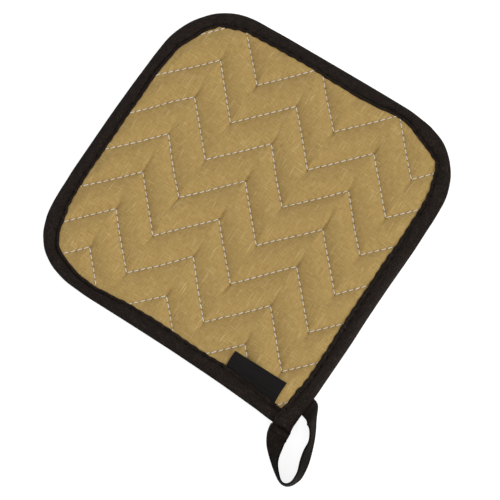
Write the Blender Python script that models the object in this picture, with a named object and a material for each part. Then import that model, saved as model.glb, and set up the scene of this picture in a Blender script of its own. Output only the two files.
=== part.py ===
"""A quilted pot holder, lying on a table with its hanging loop beside it.

It is modelled about the middle of the pad: X runs along the quilted zigzags,
Y across them and Z up, with the table at Z = 0. An empty then carries all
pieces to the part's own origin, under the middle of their common box.
"""

import math

import bmesh
import bpy
from mathutils import Vector

mm = 0.001

# The part's origin, from the middle of the pad.
BOX_MIDDLE = Vector((9.2, -15.8, 0.0)) * mm

# The quilting: sewn zigzag lines, one above the other along Y.
HALF_WAVE = 28.09 * mm  # along X, from a peak to the next valley
LINE_PITCH = 28.53 * mm  # along Y, from one sewn line to the next
WAVE_HEIGHT = 30.4 * mm  # along Y, from a valley up to a peak
FIRST_PEAK = Vector((-64.9, 67.5)) * mm  # a peak of the line numbered 0
FIRST_LINE, LAST_LINE = -3, 6  # lines that cross the pad, and one past each end
FIRST_KINK, LAST_KINK = -2, 7  # peaks and valleys, counted along X

# Heights of the pad.
CROWN_Z = 8.0 * mm  # top of a puff
LINE_Z = 5.2 * mm  # face cloth at a sewn line
UNDER_CHANNEL = 1.2 * mm  # rise of the back cloth at a sewn line
EDGE_TOP, EDGE_UNDER = 5.9 * mm, 2.8 * mm  # pressed flat inside the binding
PUFF_REACH, PUFF_FULLNESS = 11.0 * mm, 2.3  # distance from a line at which a puff is full, its power
CHANNEL_REACH, CHANNEL_POWER = 6.0 * mm, 1.5  # the same under the pad, where puffs lie flat
TOP_RISES = (13.0 * mm, 26.0 * mm)  # depth from the edge: pressed, fully puffed
UNDER_SINKS = (18.0 * mm, 30.0 * mm)
SWELL = 0.35 * mm  # unevenness from puff to puff
SWELL_LONG, SWELL_SHORT, SWELL_SHIFT = (23.0 * mm, 41.0 * mm), (37.0 * mm, 17.0 * mm), 2.0
PUCKER_DEPTH, PUCKER_WIDTH, PUCKER_LENGTH = 0.7 * mm, 2.8 * mm, 17.0 * mm
BLANK_LOW, BLANK_HIGH = -2.0 * mm, 12.0 * mm  # the uncut prism, past both faces
FORM_LOW, FORM_HIGH = -8.0 * mm, 20.0 * mm  # far sides of the forms that cut the faces

# How finely the quilted faces follow the lines: steps along a zigzag's leg
# and across from one line to the next, as shares of each.
TOP_LEG, TOP_PITCH = (0.0, 0.12, 0.37, 0.63, 0.88), (0.0, 0.09, 0.21, 0.36, 0.5, 0.64, 0.79, 0.91)
UNDER_LEG, UNDER_PITCH = (0.0, 0.33, 0.67), (0.0, 0.13, 0.3, 0.5, 0.7, 0.87)

# The outer edge of the bound pad, clockwise from the loop's corner (mm):
# x, y of each corner or slight bend, and the radius that rounds it.
EDGE_CORNERS = (
    (100.1, -105.7, 0.0),
    (24.0, -101.5, 700.0),
    (-100.5, -101.6, 42.0),
    (-102.0, 4.0, 900.0),
    (-101.0, 101.2, 46.0),
    (35.0, 103.1, 900.0),
    (101.4, 103.0, 47.0),
    (100.3, -12.0, 900.0),
    (100.1, -105.7, 0.0),
)
PATH_STEP = 1.0 * mm

# The binding: a tape folded over the edge.
TAPE_THICKNESS = 1.0 * mm
FOLD_DEPTH = 2.6 * mm  # how far in the rounded fold reaches
PIECE_GAP = 0.3 * mm
PAD_INSET = TAPE_THICKNESS + FOLD_DEPTH + 0.1 * mm
CORNER_CUT = 6.0 * mm  # the pad's corner, cut off under the crossing tapes
STATION_STEP = 6.0 * mm
RAW_END = 3.7 * mm  # where the tape starts, from the loop's corner
TAPE_LEAVES = 17.0 * mm  # where it stops following the edge, before that corner
FOLD_TURNS, LINING_TURNS = (-90.0, -45.0, 0.0, 45.0, 90.0), (90.0, 30.0, -30.0, -90.0)  # degrees
# Width of tape seen on the face (mm), beside the point x, y of the edge.
FACE_WIDTHS = (
    (96.0, -105.2, 8.4), (60.0, -103.5, 9.9), (30.0, -101.9, 9.4), (0.0, -101.4, 9.9),
    (-25.0, -101.4, 9.7), (-48.0, -101.4, 7.6), (-75.0, -97.7, 9.1), (-92.0, -85.0, 10.6),
    (-98.0, -74.0, 11.5), (-101.4, -45.0, 10.2), (-101.6, 35.0, 9.5), (-98.8, 68.0, 11.4),
    (-87.5, 88.5, 10.2), (-71.0, 99.0, 11.7), (-45.0, 102.1, 10.2), (-10.0, 102.7, 10.3),
    (18.0, 103.0, 11.3), (48.0, 103.0, 9.1), (72.0, 99.6, 11.6), (88.0, 89.0, 9.2),
    (98.0, 73.0, 11.1), (100.8, 20.0, 10.9), (100.5, -60.0, 9.5), (100.4, -84.0, 9.9),
)
# Small unevenness of that width from hand feeding (mm): height, length, shift.
FACE_WAVES = ((0.22, 9.0, 0.0), (0.16, 5.3, 1.0))
# Heights of the folded tape (mm), by distance along it from its raw end:
# pressed under its own other end, then raised where it holds the label.
RUN_HEIGHTS = (
    # along, underside, top
    (0.0, 2.3, 6.8),
    (9.0, 2.3, 6.8),
    (12.0, 1.5, 7.5),
    (52.0, 1.5, 7.5),
    (57.0, 1.5, 7.2),
)
STATION_CLEAR = 2.0 * mm  # other stations keep this far from those rows
# The end that crosses the loop's corner over the tape's start (mm, degrees):
# x, y of the fold, direction of the tape's width, width, underside, top, thickness.
CROSSING = (
    (100.4, -90.0, 180.0, 10.7, 1.5, 7.3, 1.0),
    (100.3, -93.0, 180.0, 11.3, 1.5, 7.7, 1.0),
    (100.2, -96.0, 180.0, 11.8, 1.0, 8.1, 1.0),
    (99.6, -100.8, 180.0, 12.2, 1.0, 8.1, 1.0),
    (99.5, -105.8, 181.0, 12.2, 1.0, 8.0, 1.0),
    (99.7, -107.0, 182.0, 12.3, 2.3, 5.9, 0.7),
    (99.9, -108.4, 183.0, 12.4, 3.0, 4.2, 0.45),
)

# The loop: the tape's tail, lying on its outer edge on the table.
STRAP_WIDTH = 12.4 * mm
STRAP_THICKNESS = 1.2 * mm
STRAP_ROUNDING = 0.4 * mm
LOOP_STEPS = 3  # steps from one row to the next
# Rows along the tail (mm, degrees): x, y of the outer edge, its lift off the
# table, the direction in which the width points, and its lean above the table.
LOOP_ROWS = (
    (87.5, -109.35, 3.0, 3.0, 0.0),
    (87.9, -111.9, 2.0, 7.0, 4.0),
    (89.1, -114.6, 0.9, 17.0, 11.0),
    (91.9, -118.3, 0.0, 34.0, 27.0),
    (96.4, -122.3, 0.0, 46.0, 50.0),
    (102.9, -127.5, 0.0, 54.0, 75.0),
    (109.9, -131.9, 0.0, 68.0, 88.0),
    (113.8, -132.7, 0.0, 99.0, 97.0),
    (116.8, -130.8, 0.0, 128.0, 95.0),
    (118.9, -127.4, 0.0, 150.0, 88.0),
    (119.8, -123.8, 0.0, 172.0, 81.0),
    (118.9, -115.7, 0.0, 193.0, 73.0),
    (116.5, -107.8, 0.0, 200.0, 74.0),
    (113.5, -100.4, 0.0, 211.0, 80.0),
    (110.7, -94.7, 0.0, 235.0, 72.0),
    (107.0, -88.1, 0.0, 266.0, 46.0),
    (103.9, -83.2, 0.0, 270.0, 20.0),
    (101.4, -81.0, 0.0, 269.0, 2.0),
    (93.2, -78.6, 0.0, 268.0, 0.0),
)

# The label: its long lower edge is caught under the binding.
LABEL_THICKNESS = 1.0 * mm
LABEL_COLUMNS, LABEL_ROWS = 10, 6
LABEL_LEFT, LABEL_RIGHT = 45.7 * mm, 82.4 * mm
LABEL_TOP_Y = -82.1 * mm
LABEL_TUCK = 3.0 * mm  # how far it reaches under the tape
LABEL_CLEARANCE = 0.7 * mm  # over the puffs, whose facets rise a little
LABEL_LIFTS = (8.5 * mm, 12.0 * mm)  # depth from the edge over which it rises to that
LABEL_SEAT = 1.0 * mm  # how much deeper the pad is pressed under the tuck
SEAT_MARGIN, SEAT_FADE = 3.5 * mm, 7.0 * mm
SEAT_DIPS = (-84.0 * mm, -90.5 * mm)  # along Y, from no dip to the full one
PRESS_TOP, PRESS_UNDER = 0.4 * mm, 0.8 * mm  # how far the crossing tapes press the pad
PRESS_FADES = (30.0 * mm, 18.0 * mm)  # distance from the loop's corner: free, pressed

# Base colour (linear) and roughness of each piece.
FINISHES = {
    "pad": ((0.402, 0.275, 0.098), 0.8),
    "binding": ((0.0152, 0.0116, 0.0103), 0.75),
    "loop": ((0.0152, 0.0116, 0.0103), 0.7),
    "label": ((0.0130, 0.0110, 0.0105), 0.5),
}
SHARP_FROM = math.radians(40.0)


def smooth(low, high, value):
    """0 up to low, 1 from high on, and an even rise between."""
    t = min(1.0, max(0.0, (value - low) / (high - low)))
    return t * t * (3.0 - 2.0 * t)


def between(rows, value):
    """The columns of rows, whose first is a position, at a position between them."""
    before = max((row for row in rows if row[0] <= value), default=rows[0])
    after = min((row for row in rows if row[0] > value), default=rows[-1])
    share = smooth(before[0], after[0], value) if after[0] > before[0] else 0.0
    return [a + (b - a) * share for a, b in zip(before[1:], after[1:])]


# ---------------------------------------------------------------- the edge


def edge_path():
    """Points along the bound pad's outer edge, with their inward normals."""
    corners = [(Vector((x, y)) * mm, radius * mm) for x, y, radius in EDGE_CORNERS]
    legs = [corners[0][0]]
    for (before, _), (corner, radius), (after, _) in zip(corners, corners[1:], corners[2:]):
        into, out = (corner - before).normalized(), (after - corner).normalized()
        turn = into.angle(out)
        side = 1.0 if into.cross(out) > 0.0 else -1.0
        start = corner - into * radius * math.tan(turn / 2.0)
        centre = start + Vector((-into.y, into.x)) * radius * side
        steps = max(2, round(radius * turn / PATH_STEP))
        for step in range(steps + 1):
            angle = side * turn * step / steps
            spoke = start - centre
            legs.append(centre + Vector((
                spoke.x * math.cos(angle) - spoke.y * math.sin(angle),
                spoke.x * math.sin(angle) + spoke.y * math.cos(angle),
            )))
    legs.append(corners[-1][0])

    points = []
    for a, b in zip(legs, legs[1:]):
        steps = max(1, round((b - a).length / PATH_STEP))
        points += [a.lerp(b, step / steps) for step in range(steps)]
    points.append(legs[-1])

    path, along = [], 0.0
    for i, point in enumerate(points):
        if i:
            along += (point - points[i - 1]).length
        run = (points[min(i + 1, len(points) - 1)] - points[max(i - 1, 0)]).normalized()
        path.append((along, point, Vector((run.y, -run.x))))
    return path


PATH = edge_path()
PATH_LENGTH = PATH[-1][0]


def edge_at(along):
    """Point and inward normal at a distance along the outer edge."""
    index = min(range(len(PATH)), key=lambda i: abs(PATH[i][0] - along))
    before, after = PATH[max(index - 1, 0)], PATH[min(index + 1, len(PATH) - 1)]
    share = (along - before[0]) / (after[0] - before[0])
    return before[1].lerp(after[1], share), before[2].lerp(after[2], share).normalized()


def nearest_on_edge(point):
    return min(PATH, key=lambda station: (station[1] - point).length_squared)


def edge_depth(point):
    """How far inside the outer edge a point lies."""
    _, nearest, inward = nearest_on_edge(point)
    away = point - nearest
    return math.copysign(away.length, away.dot(inward))


FACE_WIDTH_ROWS = sorted(
    (nearest_on_edge(Vector((x, y)) * mm)[0], width * mm) for x, y, width in FACE_WIDTHS
)


def face_width(along):
    """Width of tape on the face, with a small unevenness from hand feeding."""
    (width,) = between(FACE_WIDTH_ROWS, along)
    waves = (height * math.sin(along / (length * mm) + shift) for height, length, shift in FACE_WAVES)
    return width + sum(waves) * mm


# ----------------------------------------------------------------- the pad


def kink(line, number):
    """A peak (even number) or valley (odd number) of a sewn zigzag line."""
    drop = line * LINE_PITCH + (WAVE_HEIGHT if number % 2 else 0.0)
    return FIRST_PEAK + Vector((number * HALF_WAVE, -drop))


def wave_drop(x):
    """How far below its peaks a zigzag line is at x, and the leg's number."""
    leg = (x - FIRST_PEAK.x) / HALF_WAVE
    return WAVE_HEIGHT * abs((leg + 1.0) % 2.0 - 1.0), math.floor(leg)


def line_distance(point):
    """Distance to the nearest sewn line."""
    drop, leg = wave_drop(point.x)
    nearest_line = round((FIRST_PEAK.y - drop - point.y) / LINE_PITCH)
    shortest = math.inf
    for line in (nearest_line - 1, nearest_line, nearest_line + 1):
        for number in (leg - 1, leg, leg + 1):
            a, b = kink(line, number), kink(line, number + 1)
            share = min(1.0, max(0.0, (point - a).dot(b - a) / (b - a).length_squared))
            shortest = min(shortest, (point - a.lerp(b, share)).length)
    return shortest


def pucker(point):
    """Depth of the crease that runs on from a peak or a valley."""
    number = round((point.x - FIRST_PEAK.x) / HALF_WAVE)
    outward = -1.0 if number % 2 else 1.0  # up from peaks, down from valleys
    first = kink(0, number)
    lines = (first.y - point.y) / LINE_PITCH
    line = math.ceil(lines) if outward > 0.0 else math.floor(lines)
    away = abs(point.y - kink(line, number).y)
    sideways = math.exp(-(((point.x - first.x) / PUCKER_WIDTH) ** 2))
    return PUCKER_DEPTH * sideways * max(0.0, 1.0 - away / PUCKER_LENGTH)


def swell(point):
    """Slow unevenness of the filling."""
    long_wave = math.sin(point.x / SWELL_LONG[0] + point.y / SWELL_LONG[1])
    short_wave = math.sin(point.y / SWELL_SHORT[1] - point.x / SWELL_SHORT[0] + SWELL_SHIFT)
    return SWELL * (long_wave + short_wave)


def label_seat(point):
    """1 where the label's tucked edge presses the pad down, 0 away from it."""
    across = smooth(-SEAT_FADE, 0.0, point.x - (LABEL_LEFT - SEAT_MARGIN)) * smooth(
        -SEAT_FADE, 0.0, LABEL_RIGHT + SEAT_MARGIN - point.x
    )
    return across * smooth(*SEAT_DIPS, point.y)


def corner_press(point):
    """1 at the loop's corner, where the tapes cross, 0 away from it."""
    return smooth(*PRESS_FADES, (point - PATH[0][1]).length)


def pressed_top(point):
    """Height of the face cloth where the binding presses it flat."""
    return EDGE_TOP - LABEL_SEAT * label_seat(point) - PRESS_TOP * corner_press(point)


def envelope(point):
    """Top of the pad without its sewn channels."""
    base = pressed_top(point)
    return base + (CROWN_Z + swell(point) - base) * smooth(*TOP_RISES, edge_depth(point))


def pad_top(point):
    """Height of the face cloth."""
    base = pressed_top(point)
    fullness = 1.0 - (1.0 - min(1.0, line_distance(point) / PUFF_REACH)) ** PUFF_FULLNESS
    puffed = LINE_Z + (CROWN_Z + swell(point) - LINE_Z) * fullness - pucker(point)
    return base + (puffed - base) * smooth(*TOP_RISES, edge_depth(point))


def pad_under(point):
    """Height of the back cloth, flat on the table under each puff."""
    base = EDGE_UNDER + PRESS_UNDER * corner_press(point)
    closeness = 1.0 - min(1.0, line_distance(point) / CHANNEL_REACH)
    channel = UNDER_CHANNEL * closeness**CHANNEL_POWER
    return base + (channel - base) * smooth(*UNDER_SINKS, edge_depth(point))


def quilted_form(name, leg_shares, pitch_shares, height, far_z):
    """A closed block whose one face follows the quilting, the other at far_z."""
    legs = [FIRST_KINK + n + share for n in range(LAST_KINK - FIRST_KINK) for share in leg_shares]
    lines = [FIRST_LINE + n + share for n in range(LAST_LINE - FIRST_LINE) for share in pitch_shares]
    mesh = bmesh.new()
    bmesh.ops.create_grid(mesh, x_segments=len(legs) - 1, y_segments=len(lines) - 1, size=1.0)
    for vertex in mesh.verts:
        leg = legs[round((vertex.co.x + 1.0) / 2.0 * (len(legs) - 1))]
        line = lines[round((1.0 - vertex.co.y) / 2.0 * (len(lines) - 1))]
        x = FIRST_PEAK.x + leg * HALF_WAVE
        place = Vector((x, FIRST_PEAK.y - line * LINE_PITCH - wave_drop(x)[0]))
        vertex.co = (place.x, place.y, height(place))
    block = bmesh.ops.extrude_face_region(mesh, geom=mesh.faces[:])
    for vertex in (part for part in block["geom"] if isinstance(part, bmesh.types.BMVert)):
        vertex.co.z = far_z
    return finished(mesh, name)


def make_pad():
    """The bound outline as a prism, kept where both quilted forms are solid."""
    steps = round((PATH_LENGTH - 2.0 * CORNER_CUT) / STATION_STEP)
    mesh = bmesh.new()
    corners = []
    for step in range(steps + 1):
        along = CORNER_CUT + (PATH_LENGTH - 2.0 * CORNER_CUT) * step / steps
        point, inward = edge_at(along)
        corners.append(mesh.verts.new((*(point + inward * PAD_INSET), BLANK_LOW)))
    base = mesh.faces.new(corners)
    raised = bmesh.ops.extrude_face_region(mesh, geom=[base])
    lift = [part for part in raised["geom"] if isinstance(part, bmesh.types.BMVert)]
    bmesh.ops.translate(mesh, verts=lift, vec=(0.0, 0.0, BLANK_HIGH - BLANK_LOW))
    pad = finished(mesh, "pad")

    top_form = quilted_form("top_form", TOP_LEG, TOP_PITCH, pad_top, FORM_LOW)
    under_form = quilted_form("under_form", UNDER_LEG, UNDER_PITCH, pad_under, FORM_HIGH)
    for form in (top_form, under_form):
        form.hide_render = True
        form.display_type = "WIRE"
        cut = pad.modifiers.new(form.name, "BOOLEAN")
        cut.operation = "INTERSECT"
        cut.object = form
    return pad


# ------------------------------------------------------------- the binding


def tape_section(fold, inward, width, under, top, thickness):
    """Ring of points round the folded tape where it is cut across."""
    middle, half = (under + top) / 2.0, (top - under) / 2.0
    depth = min(FOLD_DEPTH, half)
    outer = [
        (depth - depth * math.cos(turn), half * math.sin(turn))
        for turn in map(math.radians, FOLD_TURNS)
    ]
    inner = [
        (thickness + depth - depth * math.cos(turn), (half - thickness) * math.sin(turn))
        for turn in map(math.radians, LINING_TURNS)
    ]
    ring = [(width, -half), (width / 2.0, -half), *outer, (width / 2.0, half), (width, half)]
    ring += [(width, half - thickness), *inner, (width, thickness - half)]
    flat = [fold + inward * depth_in for depth_in, _ in ring]
    return [Vector((*place, middle + z)) for place, (_, z) in zip(flat, ring)]


def swept(rings):
    """A closed body through rings of points, capped at both ends."""
    mesh = bmesh.new()
    loops = [[mesh.verts.new(point) for point in ring] for ring in rings]
    for near, far in zip(loops, loops[1:]):
        for i in range(len(near)):
            j = (i + 1) % len(near)
            mesh.faces.new((near[i], near[j], far[j], far[i]))
    mesh.faces.new(reversed(loops[0]))
    mesh.faces.new(loops[-1])
    return mesh


def make_binding():
    """One tape: round the edge from its raw end, then over that end at the corner."""
    leaves = PATH_LENGTH - TAPE_LEAVES
    steps = round((leaves - RAW_END) / STATION_STEP)
    places = {RAW_END + (leaves - RAW_END) * step / steps for step in range(steps + 1)}
    heights = [(RAW_END + along * mm, under * mm, top * mm) for along, under, top in RUN_HEIGHTS]
    kept = [a for a in places if all(abs(a - row[0]) > STATION_CLEAR for row in heights)]
    rings = []
    for along in sorted(kept + [row[0] for row in heights]):
        under, top = between(heights, along)
        rings.append(tape_section(*edge_at(along), face_width(along), under, top, TAPE_THICKNESS))
    for x, y, aim, *sizes in CROSSING:
        inward = Vector((math.cos(math.radians(aim)), math.sin(math.radians(aim))))
        rings.append(tape_section(Vector((x, y)) * mm, inward, *(size * mm for size in sizes)))
    return finished(swept(rings), "binding")


# ---------------------------------------------------------------- the loop


def curve_through(rows, steps):
    """A smooth run through rows of numbers (a Catmull-Rom spline)."""
    run = []
    for i in range(len(rows) - 1):
        p0, p1, p2, p3 = (rows[min(max(i + k, 0), len(rows) - 1)] for k in (-1, 0, 1, 2))
        for step in range(steps):
            t = step / steps
            run.append([
                0.5 * (2 * b + (c - a) * t + (2 * a - 5 * b + 4 * c - d) * t * t
                       + (3 * b - a - 3 * c + d) * t**3)
                for a, b, c, d in zip(p0, p1, p2, p3)
            ])
    return run + [list(rows[-1])]


def make_loop():
    """The flat strap, swept along its outer edge with its lean at each place."""
    half, rounding = STRAP_THICKNESS / 2.0, STRAP_ROUNDING
    edges, widths = [], []
    for x, y, lift, aim, lean in curve_through(LOOP_ROWS, LOOP_STEPS):
        aim, lean = math.radians(aim), math.radians(lean)
        level = math.cos(lean)
        edges.append(Vector((x * mm, y * mm, max(0.0, lift) * mm + half * abs(level))))
        widths.append(Vector((level * math.cos(aim), level * math.sin(aim), math.sin(lean))))
    rings = []
    for i, (edge, width) in enumerate(zip(edges, widths)):
        run = edges[min(i + 1, len(edges) - 1)] - edges[max(i - 1, 0)]
        face = width.cross(run).normalized()
        section = (
            (0.0, -half + rounding), (rounding, -half), (STRAP_WIDTH - rounding, -half),
            (STRAP_WIDTH, -half + rounding), (STRAP_WIDTH, half - rounding),
            (STRAP_WIDTH - rounding, half), (rounding, half), (0.0, half - rounding),
        )
        ring = [edge + width * across + face * through for across, through in section]
        below_table = Vector((0.0, 0.0, min(0.0, min(point.z for point in ring))))
        rings.append([point - below_table for point in ring])
    return finished(swept(rings), "loop")


# --------------------------------------------------------------- the label


def make_label():
    """A small sheet on the puffs, its lower edge between the pad and the tape."""
    mesh = bmesh.new()
    bmesh.ops.create_grid(mesh, x_segments=LABEL_COLUMNS, y_segments=LABEL_ROWS, size=1.0)
    for vertex in mesh.verts:
        x = LABEL_LEFT + (LABEL_RIGHT - LABEL_LEFT) * (vertex.co.x + 1.0) / 2.0
        along, edge, _ = nearest_on_edge(Vector((x, EDGE_CORNERS[0][1] * mm)))
        low = edge.y + face_width(along) - LABEL_TUCK
        y = low + (LABEL_TOP_Y - low) * (vertex.co.y + 1.0) / 2.0
        place = Vector((x, y))
        open_cloth = smooth(*LABEL_LIFTS, edge_depth(place))
        clearance = PIECE_GAP + (LABEL_CLEARANCE - PIECE_GAP) * open_cloth
        vertex.co = (x, y, envelope(place) + clearance)
    lifted = bmesh.ops.extrude_face_region(mesh, geom=mesh.faces[:])
    lift = [part for part in lifted["geom"] if isinstance(part, bmesh.types.BMVert)]
    bmesh.ops.translate(mesh, verts=lift, vec=(0.0, 0.0, LABEL_THICKNESS))
    return finished(mesh, "label")


# ------------------------------------------------------- objects, materials


def finished(mesh, name):
    """An object from a bmesh, its faces turned outwards."""
    bmesh.ops.recalc_face_normals(mesh, faces=mesh.faces[:])
    data = bpy.data.meshes.new(name)
    mesh.to_mesh(data)
    mesh.free()
    piece = bpy.data.objects.new(name, data)
    bpy.context.collection.objects.link(piece)
    return piece


def dressed(piece):
    """Gives a piece its own plain material and smooth shading."""
    colour, roughness = FINISHES[piece.name]
    material = bpy.data.materials.new(piece.name)
    material.use_nodes = True
    shader = material.node_tree.nodes["Principled BSDF"]
    shader.inputs["Base Color"].default_value = (*colour, 1.0)
    shader.inputs["Roughness"].default_value = roughness
    shader.inputs["Metallic"].default_value = 0.0
    piece.data.materials.append(material)
    piece.data.shade_smooth()
    piece.data.set_sharp_from_angle(angle=SHARP_FROM)


def main():
    for old in list(bpy.data.objects):
        bpy.data.objects.remove(old, do_unlink=True)

    carrier = bpy.data.objects.new("pot_holder", None)
    bpy.context.collection.objects.link(carrier)
    carrier.location = -BOX_MIDDLE

    for piece in (make_pad(), make_binding(), make_loop(), make_label()):
        dressed(piece)
    for piece in bpy.data.objects:
        if piece is not carrier:
            piece.parent = carrier


main()
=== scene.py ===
# %% [markdown]
# # A quilted pot holder
#
# The real one is a square of tan cotton quilted over padding in zigzags, bound
# all round with a black tape. The tape's tail is brought back as a hanging loop
# at one corner, and a small black label is caught under the binding beside it.
# It lies on a table. The solids made earlier are loaded first as a frame, and
# each one is then replaced by a finer piece in cloth and thread.

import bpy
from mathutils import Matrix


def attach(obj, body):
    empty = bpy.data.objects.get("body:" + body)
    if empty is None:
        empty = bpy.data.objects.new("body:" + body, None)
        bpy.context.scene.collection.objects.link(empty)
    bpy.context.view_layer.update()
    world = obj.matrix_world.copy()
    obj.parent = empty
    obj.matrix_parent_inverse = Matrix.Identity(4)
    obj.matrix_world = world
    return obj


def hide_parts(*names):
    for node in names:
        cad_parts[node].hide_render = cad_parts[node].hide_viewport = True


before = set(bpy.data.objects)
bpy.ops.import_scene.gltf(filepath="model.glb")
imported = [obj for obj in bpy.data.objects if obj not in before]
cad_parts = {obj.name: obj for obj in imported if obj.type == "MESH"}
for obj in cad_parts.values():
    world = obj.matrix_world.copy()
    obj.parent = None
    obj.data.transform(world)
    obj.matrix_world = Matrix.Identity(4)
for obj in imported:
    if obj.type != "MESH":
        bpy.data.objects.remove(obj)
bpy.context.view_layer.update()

# %% [markdown]
# ## Sizes and places
#
# Sewing is measured in millimetres, and everything is easiest to place from the
# middle of the pad: X along the zigzags, Y across them, Z up from the table. The
# finished pieces are then moved to the part's own origin and into metres.

# %% Tools, and the units of the work
import math

import bmesh
import bpy
import numpy as np
from mathutils import Matrix, Vector

PAD_MIDDLE = np.array((9.2, -15.8, 0.0))  # the part's origin, from the pad's middle (mm)


def in_part(points):
    """Millimetres from the pad's middle, made metres from the part's origin."""
    return (np.asarray(points, float) - PAD_MIDDLE) / 1000.0


print("the pad's middle is at", in_part((0.0, 0.0, 0.0)).round(4), "m")

# %% Even rises, and a slow unevenness
DRIFT_WAVES = 6


def smooth(low, high, values):
    """0 up to low, 1 from high on, an even rise between."""
    t = np.clip((np.asarray(values, float) - low) / (high - low), 0.0, 1.0)
    return t * t * (3.0 - 2.0 * t)


def eased(places, values, at):
    """A run of values met one after another, with an even rise from each to the next."""
    places, values, at = np.asarray(places), np.asarray(values), np.asarray(at, float)
    after = np.clip(np.searchsorted(places, at, side="right"), 1, len(places) - 1)
    t = smooth(0.0, 1.0, (at - places[after - 1]) / (places[after] - places[after - 1]))
    return values[after - 1] + (values[after] - values[after - 1]) * t


def drift(points, length, seed):
    """A slow unevenness between about -1 and 1, by place in mm."""
    draw = np.random.default_rng(seed)
    turns = draw.uniform(0.0, 2.0 * math.pi, (DRIFT_WAVES, 2))
    stretch = draw.uniform(0.7, 1.6, DRIFT_WAVES)
    total = 0.0
    for (heading, shift), scale in zip(turns, stretch):
        along = points[..., 0] * math.cos(heading) + points[..., 1] * math.sin(heading)
        total = total + np.sin(along * scale * 2.0 * math.pi / length + shift)
    return total / (DRIFT_WAVES / 2.0)


print("half way along an even rise:", float(smooth(0.0, 1.0, 0.5)))

# %% [markdown]
# ## The picture: camera, light and table
#
# The photograph was taken from high above, from the side of the loop, with a
# long lens. The light is soft and even, and a little stronger from the right of
# the picture, which is the +X side. A wide sun does that, with a pale sky round it.

# %% Camera
CAMERA_PLACE = (345.55, -395.16, 1647.45)  # mm from the pad's middle
CAMERA_RIGHT = Vector((0.8337, 0.5506, -0.0420))
CAMERA_DOWN = Vector((0.5181, -0.8063, -0.2855))
LENS, SENSOR = 204.75, 36.0

camera_data = bpy.data.cameras.new("camera")
camera_data.lens, camera_data.sensor_width = LENS, SENSOR
camera = bpy.data.objects.new("camera", camera_data)
bpy.context.collection.objects.link(camera)
backward = CAMERA_DOWN.cross(CAMERA_RIGHT).normalized()
upward = backward.cross(CAMERA_RIGHT).normalized()
camera.matrix_world = Matrix.Translation(in_part(CAMERA_PLACE)) @ Matrix(
    (CAMERA_RIGHT.normalized(), upward, backward)
).transposed().to_4x4()
bpy.context.scene.camera = camera
print("camera looks", [round(-v, 3) for v in backward])

# %% Light
SKY_LIGHT = 0.68
SUN_LIGHT, SUN_SPREAD = 1.36, 32.0
SUN_HEADING, SUN_HEIGHT = 8.0, 37.0  # degrees: from +X towards +Y, above the table

world = bpy.data.worlds.new("studio")
world.use_nodes = True
world.node_tree.nodes["Background"].inputs["Color"].default_value = (1.0, 1.0, 1.0, 1.0)
world.node_tree.nodes["Background"].inputs["Strength"].default_value = SKY_LIGHT
bpy.context.scene.world = world
bpy.context.scene.view_settings.view_transform = "Standard"

sun_data = bpy.data.lights.new("sun", "SUN")
sun_data.energy, sun_data.angle = SUN_LIGHT, math.radians(SUN_SPREAD)
sun = bpy.data.objects.new("sun", sun_data)
bpy.context.collection.objects.link(sun)
heading, height = math.radians(SUN_HEADING), math.radians(SUN_HEIGHT)
towards_sun = Vector((
    math.cos(height) * math.cos(heading), math.cos(height) * math.sin(heading), math.sin(height)
))
sun.rotation_euler = towards_sun.to_track_quat("Z", "Y").to_euler()
print("sun from", [round(v, 2) for v in towards_sun])

# %% Table
TABLE_HALF = 2.0  # m
TABLE_GREY, TABLE_GLOW = 0.5, 0.8  # what it throws back, and what the camera alone sees added

table_mesh = bmesh.new()
bmesh.ops.create_grid(table_mesh, x_segments=1, y_segments=1, size=TABLE_HALF)
table_data = bpy.data.meshes.new("table_top")
table_mesh.to_mesh(table_data)
table_mesh.free()
table = bpy.data.objects.new("table_top", table_data)
bpy.context.collection.objects.link(table)
table_finish = bpy.data.materials.new("table_white")
table_finish.use_nodes = True
table_shader = table_finish.node_tree.nodes["Principled BSDF"]
table_shader.inputs["Base Color"].default_value = (TABLE_GREY, TABLE_GREY, TABLE_GREY, 1.0)
table_shader.inputs["Roughness"].default_value = 0.9
table_shader.inputs["Specular IOR Level"].default_value = 0.1
table_shader.inputs["Emission Color"].default_value = (1.0, 1.0, 1.0, 1.0)
seen_direct = table_finish.node_tree.nodes.new("ShaderNodeLightPath").outputs["Is Camera Ray"]
glow = table_finish.node_tree.nodes.new("ShaderNodeMath")
glow.operation = "MULTIPLY"
glow.inputs[1].default_value = TABLE_GLOW
table_finish.node_tree.links.new(seen_direct, glow.inputs[0])
table_finish.node_tree.links.new(glow.outputs[0], table_shader.inputs["Emission Strength"])
table_data.materials.append(table_finish)
print("table is", 2.0 * TABLE_HALF, "m across")

# %% [markdown]
# ## Finishes shared by the cloths
#
# Three effects are used by more than one cloth, so each is a shader node group
# with its own inputs: the plain weave of the threads, the slubs that run along
# them, and pale lint. The groups work in millimetres of whatever coordinates
# they are given, and put out only values that vary over the surface.


# %% Building node groups
def new_group(name, takes, gives):
    """A shader node group with its sockets, and its two end nodes."""
    group = bpy.data.node_groups.new(name, "ShaderNodeTree")
    for label, kind, value in takes:
        socket = group.interface.new_socket(label, in_out="INPUT", socket_type=kind)
        if value is not None:
            socket.default_value = value
    for label, kind in gives:
        group.interface.new_socket(label, in_out="OUTPUT", socket_type=kind)
    start, end = group.nodes.new("NodeGroupInput"), group.nodes.new("NodeGroupOutput")
    return group, start, end


def add(tree, kind, links=(), **settings):
    """A node with its settings, fed by (socket, source) pairs or plain values."""
    node = tree.nodes.new(kind)
    for name, value in settings.items():
        setattr(node, name, value)
    for socket, source in links:
        if isinstance(source, bpy.types.NodeSocket):
            tree.links.new(source, node.inputs[socket])
        else:
            node.inputs[socket].default_value = source
    return node


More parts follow.
